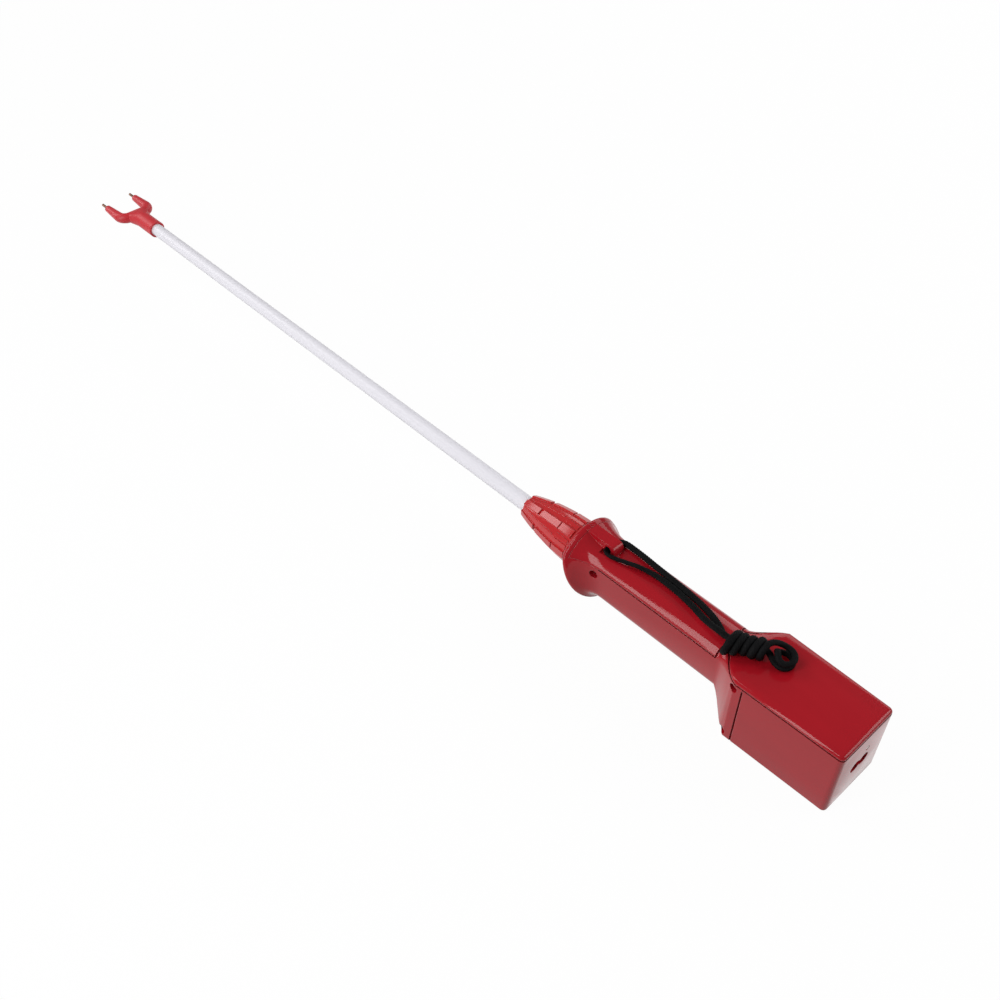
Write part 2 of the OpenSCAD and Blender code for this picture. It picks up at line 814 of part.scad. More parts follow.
// Battery pack: open-topped case that hangs on the deck's rails
pack_front_wall = 2.5;
pack_hw = 22.9;
lip_in = 20.6;
pack_lip_z = deck_z - rail_drop + rail_foot_t + lip_gap;
pack_cover_t = 1.4;
x_pack = x_seam + seam_gap / 2;
pack_z = pack_floor - box_bot;
cover_z = pack_z + 2 * cell_d + 0.7;
inlet_z = -10;
inlet_y = 0;
inlet_pitch = 8.6;
inlet_lobe_d = 9.4;
inlet_depth = 10;
lamp_y = 5;
lamp_z = 0.5;
lamp_d = 3.2;
module figure_eight(x0, x1, grow) {
    translate([x0, inlet_y, inlet_z])
        rotate([90, 0, 90])
            linear_extrude(x1 - x0) {
                for (s = [-1, 1])
                    translate([s * inlet_pitch / 2, 0]) circle(d = inlet_lobe_d + grow);
                square([inlet_pitch, inlet_lobe_d * 0.62 + grow], center = true);
            }
}
module battery_case() {
    x_in = x_pack + pack_front_wall;
    x_out = x_end - end_wall;
    z_top = cover_z + pack_cover_t;
    color([0.65, 0.11, 0.14])
    difference() {
        union() {
            difference() {
                loft([for (r = concat([box_ring(x_pack), box_ring(x_end - box_end_r - 1)], end_rings))
                    whole(r, last_n)]);
                block([x_pack - 1, -60, deck_z - seam_gap / 2], [x_end + 1, 60, 60]);
                translate([x_pack - 1, 0, 0])
                    rotate([90, 0, 90])
                        linear_extrude(x_out - x_pack + 1)
                            polygon([[-pack_hw, pack_z], [pack_hw, pack_z], [pack_hw, pack_lip_z],
                                [lip_in, pack_lip_z], [lip_in, 40], [-lip_in, 40],
                                [-lip_in, pack_lip_z], [-pack_hw, pack_lip_z]]);
            }
            block([x_pack, -pack_hw - 1, pack_z - 1], [x_in, pack_hw + 1, z_top]);
        }
        figure_eight(x_out - 1, x_end + 1, 0);
        translate([0, lamp_y, lamp_z]) rod(x_out - 1, x_end + 1, lamp_d + 2 * fit_cl);
        for (s = [-1, 1])
            translate([0, s * contact_y, contact_z])
                block([x_pack - 1, -blade_t / 2 - 0.1, -blade_h / 2 - 0.1],
                    [x_in + 1, blade_t / 2 + 0.1, blade_h / 2 + 0.1]);
    }
}

module pack_cover() {
    color([0.2, 0.2, 0.21])
    block([x_pack + pack_front_wall + 0.2, -pack_hw + 0.2, cover_z],
        [x_end - end_wall - 0.2, pack_hw - 0.2, cover_z + pack_cover_t - 0.2]);
}

x_cells = x_pack + pack_front_wall + 3;
cell_y = cell_d / 2 + 0.2;
cell_rows = [pack_z + 0.1 + cell_d / 2, pack_z + 0.3 + cell_d * 1.5];
module battery_cells() {
    nub_d = 8;
    nub_h = 1.2;
    color([0.16, 0.3, 0.55])
    for (s = [-1, 1], z = cell_rows)
        translate([0, s * cell_y, z]) {
            rod(x_cells, x_cells + cell_l - nub_h, cell_d);
            rod(x_cells + cell_l - nub_h - tiny, x_cells + cell_l, nub_d);
        }
}

module cell_straps() {
    strap_t = 0.4;
    strap_w = 6;
    x_rear = x_cells + cell_l + 0.05;
    color([0.75, 0.74, 0.7])
    union() {
        for (z = cell_rows)
            block([x_rear, -cell_y - 4, z - strap_w / 2], [x_rear + strap_t, cell_y + 4, z + strap_w / 2]);
        block([x_cells - 0.05 - strap_t, -cell_y - strap_w / 2, cell_rows[0] - 4],
            [x_cells - 0.05, -cell_y + strap_w / 2, cell_rows[1] + 4]);
    }
}

module pack_blades() {
    blade_out = 8;
    color([0.78, 0.62, 0.28])
    for (s = [-1, 1])
        translate([0, s * contact_y, contact_z])
            block([x_pack - blade_out, -blade_t / 2, -blade_h / 2],
                [x_cells - 0.6, blade_t / 2, blade_h / 2]);
}

module charge_inlet() {
    w = inlet_pitch + inlet_lobe_d + 4;
    h = inlet_lobe_d + 4;
    x_out = x_end - end_wall - 0.1;
    color([0.13, 0.13, 0.14])
    difference() {
        block([x_out - inlet_depth - 2, inlet_y - w / 2, inlet_z - h / 2],
            [x_out, inlet_y + w / 2, inlet_z + h / 2]);
        figure_eight(x_out - inlet_depth, x_out + 1, 0);
        for (s = [-1, 1])
            translate([0, inlet_y + s * inlet_pitch / 2, inlet_z])
                rod(x_out - inlet_depth - 3, x_out, 2.4 + 2 * fit_cl);
    }
}

module inlet_pins() {
    x_out = x_end - end_wall - 0.1;
    color([0.8, 0.8, 0.82])
    for (s = [-1, 1])
        translate([0, inlet_y + s * inlet_pitch / 2, inlet_z])
            rod(x_out - inlet_depth - 3, x_out - 1.5, 2.4);
}

module charge_lamp() {
    color([0.85, 0.9, 0.85])
    translate([0, lamp_y, lamp_z]) {
        rod(x_end - end_wall - 4, x_end - end_wall - 0.1, lamp_d + 1.6);
        rod(x_end - end_wall - 0.2, x_end - 0.6, lamp_d);
        rod(x_end - 0.6, x_end - 0.1, lamp_d, lamp_d - 1);
    }
}

// Swept tube: rings square to a path, turned so that their first point faces "sides"
function unit(v) = v / norm(v);
function path_dir(p, i) = unit(p[min(i + 1, len(p) - 1)] - p[max(i - 1, 0)]);
module tube(path, sides, r, n) {
    loft([for (i = [0 : len(path) - 1])
        let (t = path_dir(path, i), u = unit(sides[i] - (sides[i] * t) * t), v = cross(t, u))
        [for (k = [n - 1 : -1 : 0]) path[i] + r * (cos(360 * k / n) * u + sin(360 * k / n) * v)]]);
}

// Smooth curve through points, with n steps from each point to the next
function curve_pt(p, i, t) =
    let (a = p[max(i - 1, 0)], b = p[i], c = p[i + 1], d = p[min(i + 2, len(p) - 1)])
    0.5 * (2 * b + (c - a) * t + (2 * a - 5 * b + 4 * c - d) * t * t + (3 * b - a - 3 * c + d) * t * t * t);
function curve(p, n) =
    concat([for (i = [0 : len(p) - 2], k = [0 : n - 1]) curve_pt(p, i, k / n)], [p[len(p) - 1]]);

// Hank of the wrist strap: a straight core, a double end loop that lies on the box, and turns
// wound back over the core. Its own frame runs along the winding, across it and up.
hank_x = x_grip_end + 0.5;
hank_y = -10.2;
hank_turn = 26;
hank_lean = -0.25;
hank_pitch = cord_d + hank_gap;
hank_b = 4.75;
hank_drop = 2;
hank_z = box_top + 0.4 + cord_d / 2 + hank_b;
hank_u = (hank_turns - 0.5) * hank_pitch;
function hank_lump(u, at, w) = exp(-pow((u - at) / w, 2));
function hank_a(u) = 4.9 + 2.6 * hank_lump(u, 2.5, 5) + 1.2 * hank_lump(u, 19, 4);
function hank_v(u) = -1 * hank_lump(u, 2.5, 5) - 0.4 * hank_lump(u, 19, 4);
function hank_h(u) = hank_b + 0.6 * hank_lump(u, 1, 5);
function hank_place(p) =
    [hank_x + p[0] * cos(hank_turn) - p[1] * sin(hank_turn),
        hank_y + p[0] * sin(hank_turn) + p[1] * cos(hank_turn),
        hank_z + p[2] - hank_drop * max(0, 1 - p[0] / hank_u)];
loop_steps = 24;
tail_l = 5;
core_pts = [[-6, 5.4, 0.3], [-2, 3.2, 0.2], [3, 1, 0], [8, 0.1, 0], [hank_u - 7, 0, 0]];
bight_pts = [
    [-3.4, 0, 0], [-0.2, 0, 0], [2.2, -0.8, -1.4], [4.5, -2.5, -3.1], [7, -4.6, -4.4], [10, -6.4, -4.75],
    [13.4, -6.5, -4.75], [16.2, -4.4, -4.75], [17.4, -0.8, -4.75], [16.3, 2.8, -4.75], [13.5, 5, -4.75],
    [10.2, 5.3, -4.5], [8, 4.5, -3.9], [6.9, 3, -2], [6.7, 0.4, 1], [7, -2.3, 2.9], [8.2, -5, 2],
    [10.5, -6.9, 0.5], [13.6, -7, -0.05], [16.6, -4.9, -0.05], [17.9, -0.9, -0.05], [16.7, 3.2, -0.05],
    [13.8, 5.8, -0.05], [10.2, 6.8, 0.6], [6.7, 6.2, 2], [3.7, 4.4, 3.6], [1.5, 2.2, 4.5], [0, 0, hank_b]
];
bight = [for (p = curve(bight_pts, 2)) p + [hank_u, 0, 0]];
turns = [for (k = [1 : (hank_turns - 0.5) * loop_steps])
    let (t = 360 * k / loop_steps, u = hank_u - hank_pitch * t / 360, v = hank_v(u) - hank_a(u) * sin(t))
    [u - hank_lean * v, v, hank_h(u) * cos(t)]];
tail_at = turns[len(turns) - 1];
tail_way = unit(tail_at - turns[len(turns) - 2]);
tail_pts = [for (k = [0.5, 1]) tail_at + tail_l * k * [tail_way[0], tail_way[1], 0]];
hank_local = concat(core_pts, bight, turns, tail_pts);
hank_first_turn = len(core_pts) + len(bight);
hank_path = [for (p = hank_local) hank_place(p)];
hank_axis = [cos(hank_turn), sin(hank_turn), 0];
hank_sides = [for (i = [0 : len(hank_path) - 1])
    i < hank_first_turn || i >= hank_first_turn + len(turns) ? [0, 0, 1]
    : cross(hank_axis, path_dir(hank_path, i))];
function least_gap(p, apart) =
    min([for (i = [0 : len(p) - 1 - apart], j = [i + apart : len(p) - 1]) norm(p[i] - p[j])]) - cord_d;
function path_length(p) = len(p) < 2 ? 0 : sum_steps(p, 1);
function sum_steps(p, i) = i >= len(p) ? 0 : norm(p[i] - p[i - 1]) + sum_steps(p, i + 1);

// Strands of the wrist strap, from the hank's core through the lug and back to the hank's tail.
// The points between are stations from the lug hole, across the part and over the grip's crown.
strap_span = 106.5;
strand_pts = [
    [90, -7.1, 5.6], [82, -5.3, 4.3], [73, -2.4, 3.3], [63, -0.4, 2.75], [52, 0.8, 2.55], [39, 1, 2.4],
    [26, -1, 2], [16, -4.2, 1.65], [9, -6.8, 1.5], [3.4, -7.9, 1.4], [0.6, -6.3, 1.2], [0, -3.6, 1.2],
    [0, 3.6, 1.2], [0.6, 6.3, 1.2], [4.4, 8.5, 1.3], [12, 8.8, 1.3], [22, 8, 1.9], [35, 6.8, 2.4],
    [50, 5.8, 2.6], [63, 4.9, 2.65], [75, 3.4, 2.65], [85, 1.2, 2.6], [93, -1.8, 2.4], [99.4, -5, 2.2]
];
strap_stretch = (hank_x - x_lug_hole) / strap_span;
join_gap = 0.1;
core_end = hank_path[0];
core_dir = unit(core_end - hank_path[1]);
tail_end = hank_path[len(hank_path) - 1];
tail_dir = unit(tail_end - hank_path[len(hank_path) - 2]);
strap_pts = concat(
    [core_end + core_dir * join_gap, core_end + core_dir * 2, core_end + core_dir * 4],
    [for (p = strand_pts) [x_lug_hole + p[0] * strap_stretch, p[1], grip_top + p[2]]],
    [tail_end + tail_dir * 3, tail_end + tail_dir * 1.5, tail_end + tail_dir * join_gap]);
strap_path = curve(strap_pts, 2);
echo(strap_length_mm = path_length(strap_path) + path_length(hank_path));
echo(hank_least_gap_mm = least_gap(hank_path, 9), strap_least_gap_mm = least_gap(strap_path, 6));
module wrist_strap() {
    color([0.06, 0.06, 0.06])
    tube(strap_path, [for (p = strap_path) [0, 0, 1]], cord_d / 2, 8);
}

module strap_hank() {
    color([0.06, 0.06, 0.06])
    tube(hank_path, hank_sides, cord_d / 2, 6);
}

place() electrode_pins();
place() fork_head();
place() shaft_tube();
place() shaft_conductors();
place() collet_nut();
place() clamp_washer();
place() shaft_collet();
place() seal_ring();
place() shaft_socket();
place() contact_plug();
place() contact_pins();
place() handle_left();
place() handle_right();
place() top_cover();
place() housing_screws();
place() trigger();
place() trigger_spring();
place() trigger_switch();
place() circuit_board();
place() transformer();
place() capacitors();
place() output_leads();
place() contact_block();
place() contact_clips();
place() battery_case();
place() pack_cover();
place() battery_cells();
place() cell_straps();
place() pack_blades();
place() charge_inlet();
place() inlet_pins();
place() charge_lamp();
place() wrist_strap();
place() strap_hank();
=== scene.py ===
import json
import math

import bmesh
import bpy
from mathutils import Matrix, Vector
from mathutils.bvhtree import BVHTree
from mathutils.interpolate import poly_3d_calc


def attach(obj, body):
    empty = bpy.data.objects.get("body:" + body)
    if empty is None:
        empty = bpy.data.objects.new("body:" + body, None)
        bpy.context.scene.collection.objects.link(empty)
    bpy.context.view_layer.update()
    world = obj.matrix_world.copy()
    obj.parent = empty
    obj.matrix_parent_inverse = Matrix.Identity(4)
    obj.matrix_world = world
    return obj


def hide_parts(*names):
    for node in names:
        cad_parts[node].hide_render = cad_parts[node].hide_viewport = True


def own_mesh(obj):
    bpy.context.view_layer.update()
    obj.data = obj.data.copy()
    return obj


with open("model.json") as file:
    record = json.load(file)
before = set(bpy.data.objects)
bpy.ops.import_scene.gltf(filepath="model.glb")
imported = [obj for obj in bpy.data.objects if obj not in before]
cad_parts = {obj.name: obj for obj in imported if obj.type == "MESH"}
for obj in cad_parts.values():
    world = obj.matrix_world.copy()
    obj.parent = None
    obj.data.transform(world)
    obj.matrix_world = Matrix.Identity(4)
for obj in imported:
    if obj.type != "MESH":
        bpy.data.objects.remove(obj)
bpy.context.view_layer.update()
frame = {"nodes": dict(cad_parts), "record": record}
scene = bpy.context.scene
scene.view_settings.view_transform = "Standard"
nodes = frame["nodes"]

# Sizes of the part in millimetres, as in the CAD source
PIN_OUT, PRONG_L, STEM_L = 9, 28.5, 36
X_BAR = PIN_OUT + PRONG_L
X_COLLAR = X_BAR + STEM_L
X_NUT = X_COLLAR + 497.5
X_NUT_END = X_NUT + 52.5
X_FLANGE = X_NUT_END + 1
X_GRIP = X_FLANGE + 34
X_GRIP_END = X_GRIP + 97
X_BOX = X_GRIP_END + 21
X_SEAM = X_BOX + 6
X_END = X_SEAM + 72
AXIS_H = 39
RIM_R, RIM_Z, RIM_RAKE, RIM_T, RIM_ARC = 27.3, -2.4, 0.45, 5, math.radians(135)
GRIP_W, GRIP_TOP, GRIP_BOT, GRIP_R = 32, 18, 19.4, 7
SEAM_Z, DECK_Z = 10.1, 16.6
BOX_FRONT_W, BOX_END_W, BOX_TOP, BOX_BOT = 56, 52.8, 19.6, 39
BOX_TOP_R, BOX_BOT_R, BOX_END_R = 2.8, 2.6, 3.2
X_STEP = X_GRIP_END - 2.5


def place(p):
    """A point of the CAD source, in millimetres, in the row frame in metres."""
    return Vector(((p[0] - X_END / 2) / 1000, p[1] / 1000, (p[2] + AXIS_H) / 1000))


def rgb(r, g, b):
    """An sRGB colour from 0 to 255 as a linear colour."""
    def lin(c):
        c /= 255
        return c / 12.92 if c <= 0.04045 else ((c + 0.055) / 1.055) ** 2.4
    return (lin(r), lin(g), lin(b), 1)


def lerp(a, b, t):
    return a + (b - a) * t


def skinned(bm, rows):
    """Faces along rows of points that each go once round a section, with closed ends."""
    n = len(rows[0])
    for a, b in zip(rows, rows[1:]):
        for k in range(n):
            bm.faces.new((a[k], a[(k + 1) % n], b[(k + 1) % n], b[k]))
    bm.faces.new(rows[0][::-1])
    bm.faces.new(rows[-1])


def clamped(t):
    return min(max(t, 0), 1)


def link(o):
    scene.collection.objects.link(o)
    return o


# Camera at the photograph's viewing angle
cam = link(bpy.data.objects.new("camera", bpy.data.cameras.new("camera")))
cam.data.sensor_width = 36
cam.data.lens = 42.12
cam.data.clip_start, cam.data.clip_end = 0.01, 50
right = Vector((0.68846294, 0.7251752, 0.01182001))
down = Vector((0.51763462, -0.47988334, -0.7083547))
ahead = Vector((-0.50800904, 0.4937944, -0.70575768))
cam.matrix_world = Matrix.Translation((0.55478357, -0.42965476, 0.63666834)) @ Matrix(
    (right, -down, -ahead)).transposed().to_4x4()
scene.camera = cam


# Materials
def add(t, kind, ins=None, **props):
    n = t.nodes.new(kind)
    for k, v in props.items():
        setattr(n, k, v)
    for k, v in (ins or {}).items():
        if isinstance(v, bpy.types.NodeSocket):
            t.links.new(v, n.inputs[k])
        else:
            n.inputs[k].default_value = v
    return n


def material(name):
    m = bpy.data.materials.new(name)
    m.use_nodes = True
    t = m.node_tree
    t.nodes.clear()
    bsdf = add(t, "ShaderNodeBsdfPrincipled")
    add(t, "ShaderNodeOutputMaterial", {"Surface": bsdf.outputs[0]})
    co = add(t, "ShaderNodeTexCoord").outputs["Object"]
    return m, t, bsdf, co


def scaled(c, k):
    return (min(c[0] * k, 1), min(c[1] * k, 1), min(c[2] * k, 1), 1)


def stretched(t, co, s):
    return add(t, "ShaderNodeMapping", {"Vector": co, "Scale": s}).outputs[0]


def noise(t, co, scale, detail=2.0, rough=0.5):
    return add(t, "ShaderNodeTexNoise", {"Vector": co, "Scale": scale, "Detail": detail,
                                         "Roughness": rough}).outputs["Fac"]


def ramp(t, fac, lo, hi, a, b):
    return add(t, "ShaderNodeMapRange", {"Value": fac, "From Min": lo, "From Max": hi,
                                         "To Min": a, "To Max": b}).outputs[0]


def mix(t, fac, a, b):
    n = add(t, "ShaderNodeMix", data_type="RGBA")
    for k, v in ((0, fac), (6, a), (7, b)):
        if isinstance(v, bpy.types.NodeSocket):
            t.links.new(v, n.inputs[k])
        else:
            n.inputs[k].default_value = v
    return n.outputs[2]


def plastic(name, colour, rough, vary=0.07, grain=0.05, grain_scale=1400, edge_r=0.0005,
            edge=0.25, ior=1.5, wear=0.6, flow=(6, 30, 30)):
    """Moulded plastic: slow tone changes along the flow, fine grain, rubs, and paler worn edges."""
    m, t, bsdf, co = material(name)
    cloud = noise(t, stretched(t, co, flow), 1.6, 4.0)
    fine = noise(t, co, grain_scale, 2.0)
    rub = noise(t, stretched(t, co, (40, 900, 900)), 1.0, 3.0, 0.65)
    tone = mix(t, ramp(t, cloud, 0.3, 0.7, 0, 1), scaled(colour, 1 - vary), scaled(colour, 1 + vary))
    flat_n = add(t, "ShaderNodeNewGeometry").outputs["Normal"]
    round_n = add(t, "ShaderNodeBevel", {"Radius": edge_r}, samples=8).outputs[0] if edge_r else flat_n
    bend = add(t, "ShaderNodeVectorMath", {0: round_n, 1: flat_n}, operation="DOT_PRODUCT").outputs["Value"]
    worn = ramp(t, bend, 0.97, 0.75, 0, edge)
    pale = (lerp(colour[0], 1, 0.25), lerp(colour[1], 1, 0.2), lerp(colour[2], 1, 0.2), 1)
    t.links.new(mix(t, worn, tone, pale), bsdf.inputs["Base Color"])
    r = add(t, "ShaderNodeMath", {0: ramp(t, cloud, 0.3, 0.7, rough * 0.85, rough * 1.1),
                                  1: ramp(t, rub, 0.55, 0.8, 0, rough * wear)}, operation="ADD").outputs[0]
    t.links.new(r, bsdf.inputs["Roughness"])
    bump = add(t, "ShaderNodeBump", {"Strength": grain, "Distance": 0.0002, "Height": fine,
                                     "Normal": round_n})
    t.links.new(bump.outputs[0], bsdf.inputs["Normal"])
    bsdf.inputs["IOR"].default_value = ior
    return m


def metal(name, colour, rough, brush=(2000, 60, 60), stain=0.25, dark=0.55):
    """Bare metal with brush lines and dull stains."""
    m, t, bsdf, co = material(name)
    lines = noise(t, stretched(t, co, brush), 1.0, 3.0)
    spots = noise(t, co, 260, 4.0, 0.6)
    tone = mix(t, ramp(t, spots, 0.42, 0.68, 0, stain * 2), colour, scaled(colour, dark))
    t.links.new(tone, bsdf.inputs["Base Color"])
    t.links.new(ramp(t, lines, 0.3, 0.7, rough * 0.7, rough * 1.35), bsdf.inputs["Roughness"])
    round_n = add(t, "ShaderNodeBevel", {"Radius": 0.0003}, samples=4).outputs[0]
    bump = add(t, "ShaderNodeBump", {"Strength": 0.12, "Distance": 0.0001, "Height": lines,
                                     "Normal": round_n})
    t.links.new(bump.outputs[0], bsdf.inputs["Normal"])
    bsdf.inputs["Metallic"].default_value = 1
    return m


RED = rgb(172, 22, 34)
mats = {
    "housing_red": plastic("housing_red", RED, 0.09, vary=0.05, grain=0.012, edge_r=0.0006, ior=1.36,
                           wear=0.25),
    "nut_red": plastic("nut_red", rgb(196, 34, 38), 0.14, vary=0.06, edge_r=0.0003, ior=1.6),
    "fork_red": plastic("fork_red", rgb(208, 44, 54), 0.42, vary=0.06, grain=0.03, edge_r=0.0002, wear=0.3),
    "shaft_white": plastic("shaft_white", rgb(242, 240, 247), 0.38, vary=0.015, grain=0.004, wear=0.1,
                           flow=(3, 160, 160), edge_r=0, edge=0.0),
    "bronze": metal("bronze", rgb(150, 108, 88), 0.42, stain=0.4),
    "steel": metal("steel", rgb(178, 180, 184), 0.3),
    "contact_brass": metal("contact_brass", rgb(214, 176, 98), 0.28),
    "pale_plastic": plastic("pale_plastic", rgb(226, 221, 206), 0.45, vary=0.04, grain=0.1),
    "black_plastic": plastic("black_plastic", rgb(34, 34, 36), 0.42, vary=0.15, grain=0.22, grain_scale=1900),
    "seal_rubber": plastic("seal_rubber", rgb(24, 24, 25), 0.7, vary=0.15, grain=0.2),
    "core_grey": plastic("core_grey", rgb(58, 56, 58), 0.6, vary=0.15, grain=0.35, grain_scale=700),
    "cell_wrap": plastic("cell_wrap", rgb(42, 78, 140), 0.3, vary=0.08),
    "lead_red": plastic("lead_red", rgb(180, 36, 30), 0.5, vary=0.06),
    # Darker red for the inner faces of the seam grooves: painted shade where the channels are deep
    "seam_painted_shade": plastic("seam_painted_shade", rgb(96, 8, 14), 0.7, vary=0.1, edge=0.0, ior=1.15),
    "lamp_clear": plastic("lamp_clear", rgb(216, 226, 214), 0.12, vary=0.05),
}


def board_green():
    m, t, bsdf, co = material("board_green")
    tracks = add(t, "ShaderNodeTexBrick", {
        "Vector": co, "Color1": rgb(26, 92, 48), "Color2": rgb(34, 108, 58), "Mortar": rgb(60, 134, 70),
        "Scale": 90.0, "Mortar Size": 0.06}, offset=0.37).outputs["Color"]
    t.links.new(tracks, bsdf.inputs["Base Color"])
    fine = noise(t, co, 1600)
    t.links.new(add(t, "ShaderNodeBump", {"Strength": 0.1, "Distance": 0.0001, "Height": fine}).outputs[0],
                bsdf.inputs["Normal"])
    t.links.new(ramp(t, fine, 0.3, 0.7, 0.25, 0.4), bsdf.inputs["Roughness"])
    return m


def strap_cord():
    m, t, bsdf, co = material("strap_cord")
    fibre = noise(t, co, 2600, 3.0)
    cloud = noise(t, co, 120, 3.0)
    tone = mix(t, ramp(t, cloud, 0.3, 0.7, 0, 1), rgb(5, 5, 6), rgb(14, 14, 16))
    t.links.new(tone, bsdf.inputs["Base Color"])
    t.links.new(ramp(t, fibre, 0.3, 0.7, 0.55, 0.8), bsdf.inputs["Roughness"])
    t.links.new(add(t, "ShaderNodeBump", {"Strength": 0.35, "Distance": 0.00012, "Height": fibre}).outputs[0],
                bsdf.inputs["Normal"])
    bsdf.inputs["Specular IOR Level"].default_value = 0.12
    return m


mats["board_green"] = board_green()
mats["strap_cord"] = strap_cord()

# Wrist strap: one braided cord out of the lug hole, into the wound hank and back to the hole
CORD_D, HANK_TURNS, HANK_GAP = 4.2, 5, 0.98
HANK_X, HANK_Y, HANK_TURN, HANK_LEAN, HANK_B, HANK_DROP = X_GRIP_END + 0.5, -10.2, 26, -0.25, 4.75, 2
# Lumps of the hank by their place along it and their length, and how far they stand out
HANK_A, FRONT_LUMP, REAR_LUMP, TOP_LUMP = 4.9, (2.5, 5), (19, 4), (1, 5)
FRONT_OUT, REAR_OUT, TOP_OUT, REAR_SHIFT = 2.6, 1.2, 0.6, 0.4
LEAD_IN, LEAD_OUT = (4, 2), (1.5, 3)  # points in line with the hank's two ends
PITCH = CORD_D + HANK_GAP
HANK_Z = BOX_TOP + 0.4 + CORD_D / 2 + HANK_B
HANK_U = (HANK_TURNS - 0.5) * PITCH
X_HOLE = X_FLANGE + 25
HOLE_Z, HOLE_GAP, STRAND_L = 1.2, 0.05, 106.5
CURVE_STEPS, TURN_STEPS, TAIL = 6, 24, 5
CORD_STEP, EASE = 0.36, 12  # between sections, and from strand to hank
LINE_PASSES, FACE_PASSES = 3, 40  # smoothing
# The first strand's flat side leans this way up to LEAN_TO along it, and is level LEAN_OVER further on
LEAN, LEAN_TO, LEAN_OVER = Vector((0, 0.81, 0.58)), 14, 40
# Half width and half thickness of the cord, as shares of its radius: strands, end loop and turns
STRAND_W, LOOP_W, TURN_W = 1.16, 1.0, 1.3
STRAND_T, LOOP_T, TURN_T = 0.66, 0.84, 1.06
# Unevenness of the turns along the cord, and height of the weave
TILT, TILT_RUN, SWELL, SWELL_RUN = 0.5, 4.7, 0.09, 6.1
RELIEF, RELIEF_MEAN, RELIEF_ROUND = 0.24, 0.75, 0.7


def curve(p, n):
    """Smooth curve through points, with n steps from each point to the next."""
    p = [Vector(q) for q in p]
    out = []
    for i in range(len(p) - 1):
        a, b, c, d = p[max(i - 1, 0)], p[i], p[i + 1], p[min(i + 2, len(p) - 1)]
        for k in range(n):
            t = k / n
            out.append(0.5 * (2 * b + (c - a) * t + (2 * a - 5 * b + 4 * c - d) * t * t
                              + (3 * b - a - 3 * c + d) * t ** 3))
    return out + [p[-1]]


def lump(u, at, w):
    return math.exp(-((u - at) / w) ** 2)


def hank_place(p):
    c, s = math.cos(math.radians(HANK_TURN)), math.sin(math.radians(HANK_TURN))
    return Vector((HANK_X + p[0] * c - p[1] * s, HANK_Y + p[0] * s + p[1] * c,
                   HANK_Z + p[2] - HANK_DROP * max(0, 1 - p[0] / HANK_U)))


def hank_turn(k, steps):
    t = 2 * math.pi * k / steps
    u = HANK_U - PITCH * k / steps
    front, rear = lump(u, *FRONT_LUMP), lump(u, *REAR_LUMP)
    v = -front - REAR_SHIFT * rear - (HANK_A + FRONT_OUT * front + REAR_OUT * rear) * math.sin(t)
    return Vector((u - HANK_LEAN * v, v, (HANK_B + TOP_OUT * lump(u, *TOP_LUMP)) * math.cos(t)))


core = [(-6, 5.4, 0.3), (-2, 3.2, 0.2), (3, 1, 0), (8, 0.1, 0), (HANK_U - 7, 0, 0)]
bight_pts = [
    (-3.4, 0, 0), (-0.2, 0, 0), (2.2, -0.8, -1.4), (4.5, -2.5, -3.1), (7, -4.6, -4.4), (10, -6.4, -4.75),
    (13.4, -6.5, -4.75), (16.2, -4.4, -4.75), (17.4, -0.8, -4.75), (16.3, 2.8, -4.75), (13.5, 5, -4.75),
    (10.2, 5.3, -4.5), (8, 4.5, -3.9), (6.9, 3, -2), (6.7, 0.4, 1), (7, -2.3, 2.9), (8.2, -5, 2),
    (10.5, -6.9, 0.5), (13.6, -7, -0.05), (16.6, -4.9, -0.05), (17.9, -0.9, -0.05), (16.7, 3.2, -0.05),
    (13.8, 5.8, -0.05), (10.2, 6.8, 0.6), (6.7, 6.2, 2), (3.7, 4.4, 3.6), (1.5, 2.2, 4.5), (0, 0, HANK_B)]
bight = [p + Vector((HANK_U, 0, 0)) for p in curve(bight_pts, 5)]
turns = [hank_turn(k, TURN_STEPS) for k in range(1, HANK_TURNS * TURN_STEPS - TURN_STEPS // 2 + 1)]
way = (turns[-1] - turns[-2]).normalized()
tail = [turns[-1] + TAIL * k * Vector((way.x, way.y, 0)) for k in (0.5, 1)]
hank = [hank_place(p) for p in [Vector(q) for q in core] + bight + turns + tail]
strand = [
    (90, -7.1, 5.6), (82, -5.3, 4.3), (73, -2.4, 3.3), (63, -0.4, 2.75), (52, 0.8, 2.55), (39, 1, 2.4),
    (26, -1, 2), (16, -4.2, 1.65), (9, -6.8, 1.5), (3.4, -7.9, 1.4), (0.6, -6.3, 1.2), (0, -3.6, 1.2),
    (0, 3.6, 1.2), (0.6, 6.3, 1.2), (4.4, 8.5, 1.3), (12, 8.8, 1.3), (22, 8, 1.9), (35, 6.8, 2.4),
    (50, 5.8, 2.6), (63, 4.9, 2.65), (75, 3.4, 2.65), (85, 1.2, 2.6), (93, -1.8, 2.4), (99.4, -5, 2.2)]
stretch = (HANK_X - X_HOLE) / STRAND_L
strand = [Vector((X_HOLE + p[0] * stretch, p[1], GRIP_TOP + p[2])) for p in strand]
half = len(strand) // 2
lead = [Vector((X_HOLE, -HOLE_GAP, GRIP_TOP + HOLE_Z))] + strand[:half][::-1]
back = strand[half:]
core_way = (hank[0] - hank[1]).normalized()
tail_way = (hank[-1] - hank[-2]).normalized()
route = curve(lead + [hank[0] + core_way * k for k in LEAD_IN], CURVE_STEPS) + hank + curve(
    [hank[-1] + tail_way * k for k in LEAD_OUT] + back[::-1]
    + [Vector((X_HOLE, HOLE_GAP, GRIP_TOP + HOLE_Z))], CURVE_STEPS)


